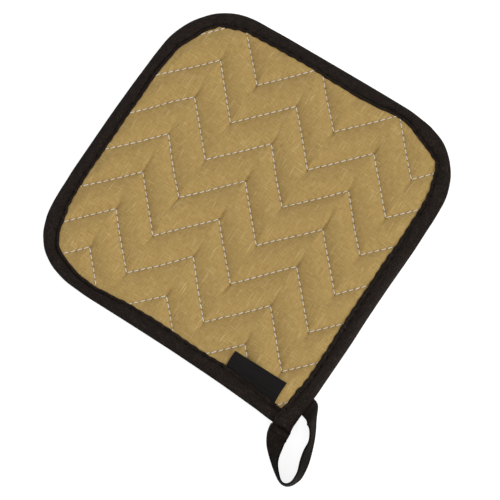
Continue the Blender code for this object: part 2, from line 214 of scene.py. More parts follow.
def maths(tree, operation, a, b=0.0, clamp=False):
    """The result of one step of arithmetic on values or sockets."""
    node = add(tree, "ShaderNodeMath", [(0, a), (1, b)], operation=operation, use_clamp=clamp)
    return node.outputs[0]


# %% The plain weave
# Two sets of threads cross at right angles, each going over one and under the
# next. The product of two sines has just such a checker of hills. A little noise
# moves the place that is looked up, so no two threads are spaced alike.
weave, weave_in, weave_out = new_group(
    "plain_weave",
    [("Place", "NodeSocketVector", None), ("Thread pitch", "NodeSocketFloat", 0.5),
     ("Unevenness", "NodeSocketFloat", 0.2)],
    [("Height", "NodeSocketFloat")],
)
stir = add(weave, "ShaderNodeTexNoise", [("Vector", weave_in.outputs["Place"]), ("Scale", 0.9)])
stir_middle = add(weave, "ShaderNodeVectorMath", [(0, stir.outputs["Color"]), (1, (0.5, 0.5, 0.5))],
                  operation="SUBTRACT")
stir_size = add(weave, "ShaderNodeVectorMath", [(0, stir_middle.outputs[0])], operation="SCALE")
weave.links.new(weave_in.outputs["Unevenness"], stir_size.inputs["Scale"])
stirred = add(weave, "ShaderNodeVectorMath", [(0, weave_in.outputs["Place"]), (1, stir_size.outputs[0])])
turned = maths(weave, "DIVIDE", math.pi, weave_in.outputs["Thread pitch"])
phase = add(weave, "ShaderNodeVectorMath", [(0, stirred.outputs[0])], operation="SCALE")
weave.links.new(turned, phase.inputs["Scale"])
parts = add(weave, "ShaderNodeSeparateXYZ", [(0, phase.outputs[0])])
crossing = maths(weave, "MULTIPLY", maths(weave, "SINE", parts.outputs["X"]),
                 maths(weave, "SINE", parts.outputs["Y"]))
hills = maths(weave, "MULTIPLY_ADD", crossing, 0.5)
hills.node.inputs[2].default_value = 0.5
weave.links.new(hills, weave_out.inputs["Height"])

# %% Slubs
# A slub is a thicker stretch of yarn. Seen from a distance it is a thin streak
# along its thread, so it is noise that is stretched a long way one way. The
# stretch along X and along Y is given apart, so that one group serves both sets
# of threads.
slubs, slubs_in, slubs_out = new_group(
    "slub_streaks",
    [("Place", "NodeSocketVector", None), ("Along X", "NodeSocketFloat", 0.5),
     ("Along Y", "NodeSocketFloat", 8.0), ("Sharpness", "NodeSocketFloat", 1.0)],
    [("Streaks", "NodeSocketFloat")],
)
spread = add(slubs, "ShaderNodeCombineXYZ", [
    ("X", maths(slubs, "DIVIDE", 1.0, slubs_in.outputs["Along X"])),
    ("Y", maths(slubs, "DIVIDE", 1.0, slubs_in.outputs["Along Y"])),
])
squeezed = add(slubs, "ShaderNodeVectorMath", [(0, slubs_in.outputs["Place"]), (1, spread.outputs[0])],
               operation="MULTIPLY")
streak = add(slubs, "ShaderNodeTexNoise", [("Vector", squeezed.outputs[0]), ("Scale", 1.0),
                                          ("Detail", 1.5), ("Roughness", 0.5)])
centred = maths(slubs, "SUBTRACT", streak.outputs[0], 0.5)
scaled = maths(slubs, "MULTIPLY", centred, slubs_in.outputs["Sharpness"])
slubs.links.new(maths(slubs, "ADD", scaled, 0.5, clamp=True), slubs_out.inputs["Streaks"])

# %% Lint
# The nearest point of a cell pattern gives each speck its middle, and the cell's
# own colour decides whether it holds one at all.
LINT_LEFT_OUT = 0.55  # share of the cells that hold no speck

lint, lint_in, lint_out = new_group(
    "lint",
    [("Place", "NodeSocketVector", None), ("Spacing", "NodeSocketFloat", 4.0),
     ("Size", "NodeSocketFloat", 0.2)],
    [("Specks", "NodeSocketFloat")],
)
apart = add(lint, "ShaderNodeVectorMath", [(0, lint_in.outputs["Place"])], operation="SCALE")
lint.links.new(maths(lint, "DIVIDE", 1.0, lint_in.outputs["Spacing"]), apart.inputs["Scale"])
cells = add(lint, "ShaderNodeTexVoronoi", [("Vector", apart.outputs[0]), ("Scale", 1.0)])
reach = maths(lint, "DIVIDE", lint_in.outputs["Size"], lint_in.outputs["Spacing"])
near = maths(lint, "SUBTRACT", 1.0, maths(lint, "DIVIDE", cells.outputs["Distance"], reach), clamp=True)
few = maths(lint, "GREATER_THAN", add(lint, "ShaderNodeSeparateColor",
                                      [(0, cells.outputs["Color"])]).outputs[0], LINT_LEFT_OUT)
lint.links.new(maths(lint, "MULTIPLY", near, few), lint_out.inputs["Specks"])
print("node groups:", ", ".join(g.name for g in (weave, slubs, lint)))


# %% Laying a finish
def cloth_finish(name, roughness, sheen, specular):
    """A cloth's material with its constant values set, its tree and its shader."""
    finish = bpy.data.materials.new(name)
    finish.use_nodes = True
    shader = finish.node_tree.nodes["Principled BSDF"]
    shader.inputs["Roughness"].default_value = roughness
    shader.inputs["Sheen Weight"].default_value = sheen
    shader.inputs["Sheen Roughness"].default_value = 0.6
    shader.inputs["Specular IOR Level"].default_value = specular
    return finish, finish.node_tree, shader


def grouped(tree, group, place, **values):
    """One of the shared groups, placed in a material with its own values."""
    node = add(tree, "ShaderNodeGroup", node_tree=group)
    tree.links.new(place, node.inputs["Place"])
    for label, value in values.items():
        node.inputs[label.replace("_", " ")].default_value = value
    return node.outputs[0]


def in_millimetres(tree, metres):
    """Coordinates in metres made millimetres, in which the shared groups work."""
    return add(tree, "ShaderNodeMapping", [("Vector", metres), ("Scale", (1000.0,) * 3)]).outputs[0]


def blended(tree, share, low, high):
    """Two colours mixed by a share; each is a colour or a socket."""
    node = add(tree, "ShaderNodeMix", [(0, share), (6, low), (7, high)], data_type="RGBA")
    return node.outputs[2]


def bumped(tree, shader, height, strength, distance, under=None):
    """Feeds a height to the shader's normal, over an earlier bump if there is one."""
    node = add(tree, "ShaderNodeBump", [("Height", height), ("Strength", strength),
                                        ("Distance", distance)])
    if under is not None:
        tree.links.new(under, node.inputs["Normal"])
    tree.links.new(node.outputs[0], shader.inputs["Normal"])
    return node.outputs[0]


# %% [markdown]
# ## The edge that everything follows
#
# The pad's outline is a square sewn by eye. Three corners are rounded, the fourth,
# where the loop hangs, is sharp, and the sides bow in and out by up to a
# millimetre. It could be drawn as a curve, but the tape, its stitches and the
# cloth's puckers all ask how far along and how far in they are. So it is kept as a
# run of close points with the direction inwards at each: corners first, then bows.

# %% Its corners and its bows
EDGE_CORNERS = (  # clockwise from the loop's corner: x, y of a corner or bend, its radius
    (100.1, -105.7, 0.0),
    (24.0, -101.5, 700.0),
    (-100.5, -101.6, 42.0),
    (-102.0, 4.0, 900.0),
    (-101.0, 101.2, 46.0),
    (35.0, 103.1, 900.0),
    (101.4, 103.0, 47.0),
    (100.3, -12.0, 900.0),
    (100.1, -105.7, 0.0),
)
EDGE_STEP = 1.0
EDGE_BOWS = (  # x, y of a place on the outline, and how far the sewn edge bows in there
    (100.1, -105.7, 0.0), (97.0, -105.5, -0.5), (84.0, -104.8, -0.45),
    (74.0, -104.3, -0.1), (55.0, -103.2, -0.05), (26.0, -101.8, -0.45),
    (-22.0, -101.5, -0.2), (-48.0, -101.6, -0.25), (-62.0, -101.5, 0.4),
    (-70.0, -100.1, 0.45), (-80.5, -95.7, 0.0), (-87.0, -91.0, -0.3), (-93.0, -84.5, 0.0),
    (-98.3, -74.5, 0.65), (-100.6, -65.5, 1.0), (-101.2, -51.0, 0.4), (-101.4, -38.0, -0.05),
    (-101.8, 22.0, 0.0), (-101.6, 45.0, 0.3), (-101.3, 60.0, 0.85), (-98.6, 72.0, 1.0),
    (-92.0, 83.8, 0.65), (-82.0, 93.4, -0.1), (-74.0, 98.0, -0.25), (-58.0, 101.7, 0.1),
    (-34.0, 102.1, -0.25), (-2.0, 102.6, -0.25), (49.0, 103.1, -0.05), (60.5, 102.5, 0.6),
    (70.0, 100.3, 0.1), (80.0, 95.3, -0.75), (93.0, 82.0, -0.55), (98.5, 71.0, -0.1),
    (100.9, 59.0, 0.35), (100.9, 49.0, -0.05), (100.7, 28.0, -0.5), (100.4, -2.0, -0.25),
    (100.3, -20.0, -0.3), (100.2, -42.0, -0.7), (100.2, -76.0, -0.5), (100.1, -90.0, 0.2),
    (100.1, -103.0, 0.0),
)
print(len(EDGE_CORNERS) - 1, "corners and bends,", len(EDGE_BOWS), "places on its bows")


# %% The outline
def rounded_outline():
    """Close points along the outline, its corners rounded to their radii."""
    corners = [(Vector((x, y)), radius) for x, y, radius in EDGE_CORNERS]
    legs = [corners[0][0]]
    for (before, _), (corner, radius), (after, _) in zip(corners, corners[1:], corners[2:]):
        into, out = (corner - before).normalized(), (after - corner).normalized()
        turn, side = into.angle(out), 1.0 if into.cross(out) > 0.0 else -1.0
        start = corner - into * radius * math.tan(turn / 2.0)
        centre = start + Vector((-into.y, into.x)) * radius * side
        steps = max(2, round(radius * turn / EDGE_STEP))
        for step in range(steps + 1):
            spoke = start - centre
            spoke.rotate(Matrix.Rotation(side * turn * step / steps, 2))
            legs.append(centre + spoke)
    legs.append(corners[-1][0])
    points = []
    for a, b in zip(legs, legs[1:]):
        steps = max(1, round((b - a).length / EDGE_STEP))
        points += [a.lerp(b, step / steps) for step in range(steps)]
    return np.array([point[:] for point in points + [legs[-1]]])


def inwards(points):
    """The direction into the pad at each of the outline's points."""
    run = np.gradient(points, axis=0)
    run /= np.linalg.norm(run, axis=1)[:, None]
    return np.c_[run[:, 1], -run[:, 0]]


drawn_edge = rounded_outline()
bows = sorted((np.hypot(*(drawn_edge - row[:2]).T).argmin(), row[2]) for row in EDGE_BOWS)
bow = eased([place for place, _ in bows], [inward for _, inward in bows], np.arange(len(drawn_edge)))
EDGE = drawn_edge + inwards(drawn_edge) * bow[:, None]
EDGE_ALONG = np.r_[0.0, np.cumsum(np.linalg.norm(np.diff(EDGE, axis=0), axis=1))]
EDGE_LENGTH = EDGE_ALONG[-1]
EDGE_INWARD = inwards(EDGE)
print(f"outline is {EDGE_LENGTH:.0f} mm round")

# %% Places on it and beside it
POINTS_AT_ONCE = 2000  # so that the table of distances stays small


def edge_at(along):
    """Points and inward directions at distances along the outline."""
    point = np.stack([np.interp(along, EDGE_ALONG, EDGE[:, i]) for i in (0, 1)], axis=-1)
    inward = np.stack([np.interp(along, EDGE_ALONG, EDGE_INWARD[:, i]) for i in (0, 1)], axis=-1)
    return point, inward / np.linalg.norm(inward, axis=-1)[..., None]


def beside_edge(points):
    """How far inside the outline points lie, and how far along it."""
    depth, along = np.empty(len(points)), np.empty(len(points))
    for share in np.array_split(np.arange(len(points)), len(points) // POINTS_AT_ONCE + 1):
        away = points[share][:, None] - EDGE[None]
        nearest = (away**2).sum(axis=2).argmin(axis=1)
        depth[share] = (away[np.arange(len(share)), nearest] * EDGE_INWARD[nearest]).sum(axis=1)
        along[share] = EDGE_ALONG[nearest]
    return depth, along


# %% [markdown]
# ## The quilted pad
#
# A filled pad could be swelled by a cloth simulation, but its sewn lines would
# blur. Here the face is a height over the plane instead: it rises from each sewn
# line as taut cloth over padding does, steeply at first and then level. The grid
# of the mesh follows the zigzags, so a line is always a row of points and stays
# crisp. Creases run on from each point of the zigzag, where the cloth has nowhere
# to go, and the thread pulls a dimple at each needle hole.

# %% The zigzags
HALF_WAVE = 28.09  # along X, from a peak to the next valley
LINE_PITCH = 28.53  # along Y, from one sewn line to the next
WAVE_HEIGHT = 30.4  # along Y, from a valley up to a peak
FIRST_PEAK = np.array((-64.9, 67.5))
LEG_STITCHES = 10  # from a peak to a valley
LEG_LENGTH = math.hypot(HALF_WAVE, WAVE_HEIGHT)
STITCH_PITCH = LEG_LENGTH / LEG_STITCHES
LINE_WANDER = 0.3  # mm, because the lines were guided by hand
print(f"a leg is {LEG_LENGTH:.1f} mm, its stitches {STITCH_PITCH:.2f} mm apart")


def kinks(line, number):
    """Peaks (even numbers) or valleys (odd) of sewn lines."""
    return np.stack([
        FIRST_PEAK[0] + number * HALF_WAVE,
        FIRST_PEAK[1] - line * LINE_PITCH - WAVE_HEIGHT * (np.abs(number) % 2),
    ], axis=-1)


def drop_at(leg):
    """How far a sewn line is below its peaks, in legs from the first peak."""
    return WAVE_HEIGHT * np.abs((leg + 1.0) % 2.0 - 1.0)


def off_line(points):
    """The small wander of a sewn line from its drawn place."""
    return np.stack([LINE_WANDER * drift(points, 60.0, 11), LINE_WANDER * drift(points, 45.0, 12)], axis=-1)


# %% Distance to the sewing
def sewn_nearby(points):
    """Distance to the nearest sewn line, to the nearest needle hole along it, and its place."""
    drawn = points - off_line(points)
    leg = (drawn[:, 0] - FIRST_PEAK[0]) / HALF_WAVE
    line = np.round((FIRST_PEAK[1] - drop_at(leg) - drawn[:, 1]) / LINE_PITCH)
    away, hole, place = np.full(len(points), np.inf), np.zeros(len(points)), np.zeros(len(points))
    for line_step in (-1, 0, 1):
        for leg_step in (-1, 0, 1):
            number = np.floor(leg) + leg_step
            a, b = kinks(line + line_step, number), kinks(line + line_step, number + 1)
            share = ((drawn - a) * (b - a)).sum(axis=1) / LEG_LENGTH**2
            share = np.clip(share, 0.0, 1.0)
            far = np.linalg.norm(drawn - a - (b - a) * share[:, None], axis=1)
            closer = far < away
            stitch = share * LEG_STITCHES
            away = np.where(closer, far, away)
            hole = np.where(closer, np.abs(stitch - np.round(stitch)) * STITCH_PITCH, hole)
            place = np.where(closer, (number + share) * LEG_LENGTH, place)
    return away, hole, place


# %% Creases that run on from the points
CREASE_DEPTH, CREASE_WIDTH, CREASE_LENGTH = 1.0, 0.8, 16.0
CREASE_RIDGE = 0.3  # the cloth beside it stands up, on the -X side
CREASE_LEAN, CREASE_STRAY = -1.6, 2.4  # mm towards +X at its far end, and how far that varies
CREASE_SHORTEST, CREASE_VARIES = 0.55, 0.7  # shares of its length
CREASE_SHALLOWEST, CREASE_DEEPENS = 0.45, 0.9  # shares of its depth
CREASE_NARROWEST, CREASE_WIDENS = 0.8, 1.9  # shares of its width, at its start and added by its end
CREASE_ASIDE = 0.3  # mm from the point to its start
BANK_AWAY, BANK_WIDE = 2.3, 1.4  # of the raised cloth beside it, in widths of the crease
CREASE_BELOW = 0.75  # under a valley it is shorter
CREASE_TILE = 12  # lines and legs after which the same creases come again
CREASE_DRAW = np.random.default_rng(5).uniform(0.0, 1.0, (3, CREASE_TILE, CREASE_TILE))
print(f"creases are up to {CREASE_LENGTH * (CREASE_SHORTEST + CREASE_VARIES):.0f} mm long")


def crease(points):
    """Height taken off by the crease on from the nearest peak or valley."""
    drawn = points - off_line(points)
    number = np.round((drawn[:, 0] - FIRST_PEAK[0]) / HALF_WAVE)
    outward = np.where(number % 2 == 0, 1.0, -1.0)  # up from peaks, down from valleys
    lines = (kinks(0, number)[:, 1] - drawn[:, 1]) / LINE_PITCH
    line = np.where(outward > 0.0, np.ceil(lines), np.floor(lines))
    own = CREASE_DRAW[:, (line % CREASE_TILE).astype(int), (number % CREASE_TILE).astype(int)]
    away = np.abs(drawn[:, 1] - kinks(line, number)[:, 1])
    length = CREASE_LENGTH * np.where(outward > 0.0, 1.0, CREASE_BELOW)
    reach = length * (CREASE_SHORTEST + CREASE_VARIES * own[0])
    share = np.clip(away / reach, 0.0, 1.0)
    middle = (CREASE_LEAN + CREASE_STRAY * (own[1] - 0.5)) * share**1.5
    middle = middle + CREASE_ASIDE * (1.0 - share)
    across = drawn[:, 0] - kinks(line, number)[:, 0] - middle
    width = CREASE_WIDTH * (CREASE_NARROWEST + CREASE_WIDENS * share)
    groove = np.exp(-((across / width) ** 2))
    bank = CREASE_RIDGE * np.exp(-(((across + BANK_AWAY * width) / (BANK_WIDE * width)) ** 2))
    fade = smooth(1.0, 0.35, share) * smooth(-0.02, 0.06, share)
    depth = CREASE_DEPTH * (CREASE_SHALLOWEST + CREASE_DEEPENS * own[2])
    return depth * fade * (groove - bank)


# %% Where the label lies
LABEL_LEFT, LABEL_RIGHT, LABEL_TOP = 45.7, 82.4, -82.1
LABEL_PRESS = 0.5  # its sewn-in edge presses the pad
print(f"label is {LABEL_RIGHT - LABEL_LEFT:.1f} mm wide")


def label_near(points, margin):
    """1 on the strip of pad that the label covers, 0 away from it."""
    x, y = points[:, 0], points[:, 1]
    across = smooth(-margin, 0.0, x - LABEL_LEFT) * smooth(-margin, 0.0, LABEL_RIGHT - x)
    return across * smooth(LABEL_TOP + margin, LABEL_TOP, y)


# %% Height of the face
CROWN, LINE_HEIGHT = 8.0, 5.2  # tops of the puffs, and the cloth at a sewn line
SWELL, LUMPS = 0.35, 0.12  # how far the tops differ, slowly and from lump to lump
PUFF_REACH, PUFF_POWER = 11.0, 2.3
EDGE_TOP, FACE_RISES = 5.9, (8.0, 17.0)  # pressed inside the binding, and the depths of its rise
NEEDLE_DIMPLE, DIMPLE_ACROSS, DIMPLE_ALONG = 0.4, 0.8, 0.75
GATHER, GATHER_PITCH, GATHER_AWAY = 0.11, 6.9, 1.8  # small waves beside each sewn line
TUCK, TUCK_STARTS, TUCK_ENDS = 0.35, (6.0, 9.0), (19.0, 10.5)  # folds in from the binding


def face_height(points, sewing=True):
    """Height of the face cloth. Without its sewing it is the top of the padding."""
    points = np.asarray(points, float)
    depth, along = beside_edge(points)
    swell = SWELL * (np.sin(points[:, 0] / 23.0 + points[:, 1] / 41.0)
                     + np.sin(points[:, 1] / 17.0 - points[:, 0] / 37.0 + 2.0))
    crown = CROWN + swell + LUMPS * drift(points, 19.0, 21)
    if sewing:
        away, hole, place = sewn_nearby(points)
        fullness = 1.0 - (1.0 - np.minimum(1.0, away / PUFF_REACH)) ** PUFF_POWER
        puffed = LINE_HEIGHT + (crown - LINE_HEIGHT) * fullness - crease(points)
        puffed -= NEEDLE_DIMPLE * np.exp(-((away / DIMPLE_ACROSS) ** 2) - (hole / DIMPLE_ALONG) ** 2)
        gathers = np.sin(place * 2.0 * math.pi / GATHER_PITCH + 2.5 * drift(points, 30.0, 22))
        puffed += GATHER * gathers * np.exp(-((away - GATHER_AWAY) / GATHER_AWAY) ** 2)
    else:
        puffed = crown
    # Short tucks stand in from the binding, where its seam takes up the cloth.
    tucks = np.sin(along / 3.1 + 3.0 * drift(points, 70.0, 23)) * smooth(0.1, 0.9, drift(points, 34.0, 24))
    tucks = TUCK * tucks * smooth(*TUCK_ENDS, depth) * smooth(*TUCK_STARTS, depth)
    base = EDGE_TOP - LABEL_PRESS * label_near(points, 5.0) * smooth(13.0, 9.0, depth)
    return base + (puffed - base) * smooth(*FACE_RISES, depth) + tucks


print("face at the middle:", face_height(np.zeros((1, 2))).round(2), "mm")

# %% Height of the back
EDGE_UNDER, BACK_SINKS = 2.8, (12.0, 26.0)  # pressed inside the binding, and the depths of its fall
BACK_CHANNEL, BACK_REACH, BACK_DIMPLE = 1.2, 6.0, 0.3


def back_height(points):
    """Height of the back cloth, which lies flat on the table under each puff."""
    depth, _ = beside_edge(points)
    away, hole, _ = sewn_nearby(points)
    closeness = 1.0 - np.minimum(1.0, away / BACK_REACH)
    channel = BACK_CHANNEL * closeness**1.5
    channel += BACK_DIMPLE * np.exp(-((away / DIMPLE_ACROSS) ** 2) - (hole / DIMPLE_ALONG) ** 2)
    return EDGE_UNDER + (channel - EDGE_UNDER) * smooth(*BACK_SINKS, depth)


print("back at the middle:", back_height(np.zeros((1, 2))).round(2), "mm")


# %% Reading and finishing a mesh
def gathered(mesh):
    """All of a mesh's points, in mm, as an array."""
    return np.array([vertex.co[:] for vertex in mesh.verts])


def finished(mesh, name, finish):
    """An object of the mesh, moved to its place in the part, with its finish."""
    data = bpy.data.meshes.new(name)
    mesh.to_mesh(data)
    mesh.free()
    points = np.empty(len(data.vertices) * 3)
    data.vertices.foreach_get("co", points)
    data.vertices.foreach_set("co", in_part(points.reshape(-1, 3)).ravel())
    data.shade_smooth()
    data.materials.append(finish)
    data.update()
    piece = bpy.data.objects.new(name, data)
    bpy.context.collection.objects.link(piece)
    print(f"{name}: {sum(len(f.vertices) - 2 for f in data.polygons)} triangles")
    return piece


# %% A grid along the zigzags
# Its columns stand at every quarter of a stitch, and its rows crowd together at
# the sewn lines.
STITCH_SHARES = 4
ROW_SHARES = (0.0, 0.018, 0.045, 0.085, 0.135, 0.195, 0.265, 0.34, 0.42,
              0.5, 0.58, 0.66, 0.735, 0.805, 0.865, 0.915, 0.955, 0.982)
FIRST_LEG, LAST_LEG, FIRST_LINE, LAST_LINE = -2, 7, -3, 6

columns = (LAST_LEG - FIRST_LEG) * LEG_STITCHES * STITCH_SHARES
rows = [FIRST_LINE + n + share for n in range(LAST_LINE - FIRST_LINE) for share in ROW_SHARES]
pad_mesh = bmesh.new()
bmesh.ops.create_grid(pad_mesh, x_segments=columns, y_segments=len(rows) - 1, size=1.0)
grid = gathered(pad_mesh)
leg = FIRST_LEG + (LAST_LEG - FIRST_LEG) * (grid[:, 0] + 1.0) / 2.0
line = np.array(rows)[np.round((1.0 - grid[:, 1]) / 2.0 * (len(rows) - 1)).astype(int)]
flat = np.stack([
    FIRST_PEAK[0] + leg * HALF_WAVE,
    FIRST_PEAK[1] - line * LINE_PITCH - drop_at(leg),
], axis=-1)
flat += off_line(flat)
print("grid has", columns, "columns and", len(rows), "rows")

# %% Trimmed to the outline
# What lies outside the outline is pulled in to it, a little more at each round,
# or dropped.
PAD_INSET = 3.7  # the pad's cut side, from the outline
PULL_ROUNDS, TOO_CLOSE = 6, 0.02  # and points nearer than this (mm) become one

inside = beside_edge(flat)[0] > PAD_INSET
for _ in range(PULL_ROUNDS):
    depth, along = beside_edge(flat)
    flat += edge_at(along)[1] * np.maximum(0.0, PAD_INSET - depth)[:, None]
for vertex, (x, y) in zip(pad_mesh.verts, flat):
    vertex.co = (x, y, 0.0)
pad_mesh.verts.index_update()
outside = [face for face in pad_mesh.faces if not any(inside[v.index] for v in face.verts)]
bmesh.ops.delete(pad_mesh, geom=outside, context="FACES")
bmesh.ops.dissolve_degenerate(pad_mesh, dist=TOO_CLOSE, edges=pad_mesh.edges[:])
print(len(pad_mesh.faces), "faces lie inside the outline")

# %% Face, back and needle holes
# Extruding the face gives the back, and closes the sides, which the tape hides.
# How near a point is to a needle hole is kept with it, so that painted shade can
# darken the cloth in each hole.
HOLE_ACROSS, HOLE_ALONG = 0.55, 0.6

face_of_pad = pad_mesh.verts[:]
turned_out = bmesh.ops.extrude_face_region(pad_mesh, geom=pad_mesh.faces[:])
back_of_pad = [part for part in turned_out["geom"] if isinstance(part, bmesh.types.BMVert)]
for side, height_of in ((face_of_pad, face_height), (back_of_pad, back_height)):
    for vertex, z in zip(side, height_of(np.array([v.co[:2] for v in side]))):
        vertex.co.z = z
bmesh.ops.recalc_face_normals(pad_mesh, faces=pad_mesh.faces[:])
away, hole, _ = sewn_nearby(gathered(pad_mesh)[:, :2])
needle_hole_shade = pad_mesh.verts.layers.float.new("needle_hole_shade")
hole_shade = np.exp(-((away / HOLE_ACROSS) ** 2) - (hole / HOLE_ALONG) ** 2)
for vertex, mark in zip(pad_mesh.verts, hole_shade):
    vertex[needle_hole_shade] = mark
print(f"{np.mean(hole_shade > 0.5):.1%} of the points are at a needle hole")

# %% [markdown]
# ### Tan cotton
#
# The cloth is a plain weave, about two threads to the millimetre, too fine to
# see as a pattern at arm's length: what shows are the slubs, pale or dark streaks
# along the threads, longer one way than the other, and a faint mottling from
# wear. The colour is therefore built from streaks at three scales, and the weave
# itself is only in the bump. Each needle hole gets a small dark point of painted
# shade.

# %% Tan cotton
tan_cotton, tree, shader = cloth_finish("tan_cotton", 0.85, 0.08, 0.2)
place = in_millimetres(tree, add(tree, "ShaderNodeTexCoord").outputs["Object"])
long_streaks = grouped(tree, slubs, place, Along_X=0.38, Along_Y=5.0, Sharpness=2.4)
cross_streaks = grouped(tree, slubs, place, Along_X=5.0, Along_Y=0.38, Sharpness=2.4)
grain = grouped(tree, slubs, place, Along_X=0.36, Along_Y=0.36, Sharpness=2.4)
rare_slubs = grouped(tree, slubs, place, Along_X=0.38, Along_Y=14.0, Sharpness=2.0)
cross_slubs = grouped(tree, slubs, place, Along_X=12.0, Along_Y=0.38, Sharpness=2.0)
mottle = add(tree, "ShaderNodeTexNoise", [("Vector", place), ("Scale", 0.035),
                                          ("Detail", 3.0)]).outputs[0]
both_streaks = maths(tree, "ADD", maths(tree, "MULTIPLY", long_streaks, 0.35),
                     maths(tree, "MULTIPLY", cross_streaks, 0.38))
both_streaks = maths(tree, "ADD", both_streaks, maths(tree, "MULTIPLY", grain, 0.27))
colour = blended(tree, both_streaks, (0.245, 0.152, 0.040, 1.0), (0.590, 0.402, 0.143, 1.0))
pale = maths(tree, "MAXIMUM", maths(tree, "SUBTRACT", rare_slubs, 0.79, clamp=True),
             maths(tree, "SUBTRACT", cross_slubs, 0.82, clamp=True))
colour = blended(tree, maths(tree, "MULTIPLY", pale, 6.0, clamp=True), colour, (0.660, 0.500, 0.235, 1.0))
shade = add(tree, "ShaderNodeMapRange", [("Value", mottle), ("From Min", 0.3), ("From Max", 0.7),
                                         ("To Min", 0.0), ("To Max", 0.12)]).outputs[0]
colour = blended(tree, shade, colour, (0.290, 0.185, 0.058, 1.0))
# Painted shade darkens the cloth in each needle hole.
needle = add(tree, "ShaderNodeAttribute", attribute_name="needle_hole_shade").outputs["Fac"]
colour = blended(tree, maths(tree, "MULTIPLY", needle, 0.75), colour, (0.085, 0.052, 0.022, 1.0))
tree.links.new(colour, shader.inputs["Base Color"])
threads = grouped(tree, weave, place, Thread_pitch=0.45, Unevenness=0.35)
fine = bumped(tree, shader, threads, 0.35, 0.0001)
bumped(tree, shader, long_streaks, 0.3, 0.00012, under=fine)

# %% The pad
pad = finished(pad_mesh, "quilted_pad", tan_cotton)
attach(pad, "root")
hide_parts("pad")

# %% [markdown]
# ## The quilting thread
#
# A sewn line shows as a row of short threads, each rising out of one needle hole
# and diving into the next. One stitch is a ball stretched into a capsule and bent
# down at its ends; it is copied along every leg that the tape and the label leave
# in sight, tilted a little as a lockstitch lies.


# %% One stitch
STITCH_BLUNTNESS = 0.6  # 1 is a ball's own ends, less is blunter


def stitch_shape(around, rings):
    """A capsule along X from -0.5 to 0.5, of radius 1 across, as a mesh."""
    ball = bmesh.new()
    ball.loops.layers.uv.new("along_thread")
    bmesh.ops.create_uvsphere(ball, u_segments=around, v_segments=rings, radius=1.0, calc_uvs=True)
    for vertex in ball.verts:
        x, y, z = vertex.co
        vertex.co = (0.5 * math.copysign(abs(z) ** STITCH_BLUNTNESS, z), x, y)
    shape = bpy.data.meshes.new("stitch_shape")
    ball.to_mesh(shape)
    ball.free()
    return shape


# %% A row of stitches
def sewn_row(name, starts, ends, radius, dive, finish, shape, up=1.0, tilt=0.0):
    """Stitches from starts to ends (mm), one mesh, each bent down at its ends."""
    mesh = bmesh.new()
    for _ in range(len(starts)):
        mesh.from_mesh(shape)
    unit = np.array([vertex.co[:] for vertex in shape.vertices])
    run = ends - starts
    length = np.linalg.norm(run, axis=1)[:, None]
    run = run / length
    side = np.cross((0.0, 0.0, 1.0), run)
    side /= np.linalg.norm(side, axis=1)[:, None]
    rise = np.cross(run, side) * up
    swing = np.broadcast_to(tilt, len(starts))[:, None, None]
    x, y, z = unit[None, :, 0, None], unit[None, :, 1, None], unit[None, :, 2, None]
    thick = np.broadcast_to(radius, len(starts))[:, None, None]
    points = ((starts + ends) / 2.0)[:, None] + run[:, None] * x * length[:, None]
    points = points + side[:, None] * (y * thick + x * swing)
    points = points + rise[:, None] * (z * thick - dive * np.abs(2.0 * x) ** 3)
    for vertex, place in zip(mesh.verts, points.reshape(-1, 3)):
        vertex.co = place
    piece = finished(mesh, name, finish)
    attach(piece, "root")
    return piece


# %% A twisted thread
TWIST_SLANT, TWIST_BANDS = 0.6, 5.0


def twist_of(tree, distortion):
    """The bands of a thread's twist, slanting along each stitch."""
    along_thread = add(tree, "ShaderNodeUVMap", uv_map="along_thread").outputs[0]
    slanted = add(tree, "ShaderNodeMapping", [
        ("Vector", along_thread), ("Rotation", (0.0, 0.0, TWIST_SLANT)), ("Scale", (TWIST_BANDS,) * 3),
    ]).outputs[0]
    return add(tree, "ShaderNodeTexWave", [
        ("Vector", slanted), ("Scale", 1.0), ("Distortion", distortion),
    ], bands_direction="X").outputs["Fac"]


# %% The tape's width on the face
# The quilting has to know where the tape covers it, so the width comes first.
FACE_WIDTHS = (  # beside the point x, y of the edge
    (90.0, -105.1, 9.2), (82.4, -104.7, 9.5), (60.0, -103.5, 10.0), (44.0, -102.6, 10.6),
    (34.0, -102.1, 10.0), (18.0, -101.6, 9.85), (2.0, -101.5, 10.4), (-22.0, -101.5, 10.1),
    (-38.0, -101.5, 8.8), (-48.0, -101.6, 7.9), (-58.0, -101.6, 8.2), (-70.0, -100.1, 9.25),
    (-77.0, -97.6, 9.5), (-85.0, -92.7, 9.2), (-93.0, -84.5, 10.3), (-99.5, -70.5, 11.5),
    (-101.2, -58.0, 10.2), (-101.3, -46.0, 9.8), (-101.8, -12.0, 9.9), (-101.8, 22.0, 9.65),
    (-101.7, 38.0, 9.1), (-101.4, 57.0, 9.9), (-97.0, 75.5, 11.3), (-90.5, 85.5, 10.2),
    (-83.0, 92.7, 9.8), (-74.0, 98.0, 11.1), (-58.0, 101.7, 10.4), (-34.0, 102.1, 10.0),
    (-18.0, 102.4, 9.65), (2.0, 102.6, 10.5), (18.0, 102.9, 10.8), (30.0, 103.0, 10.3),
    (46.0, 103.1, 8.5), (54.0, 103.1, 8.6), (69.0, 100.6, 11.1), (77.0, 97.0, 11.5),
    (83.5, 92.7, 10.5), (88.5, 88.0, 8.9), (94.0, 80.5, 10.5), (97.5, 73.8, 11.2),
    (100.9, 55.0, 10.9), (100.7, 30.0, 10.7), (100.6, 18.0, 11.1), (100.5, 8.0, 10.75),
    (100.3, -18.0, 10.5), (100.2, -36.0, 10.6), (100.2, -56.0, 10.0), (100.2, -70.0, 10.0),
    (100.2, -78.0, 10.2), (100.2, -84.0, 10.9), (100.1, -90.0, 10.9),
)
width_places = beside_edge(np.array([row[:2] for row in FACE_WIDTHS]))[1]
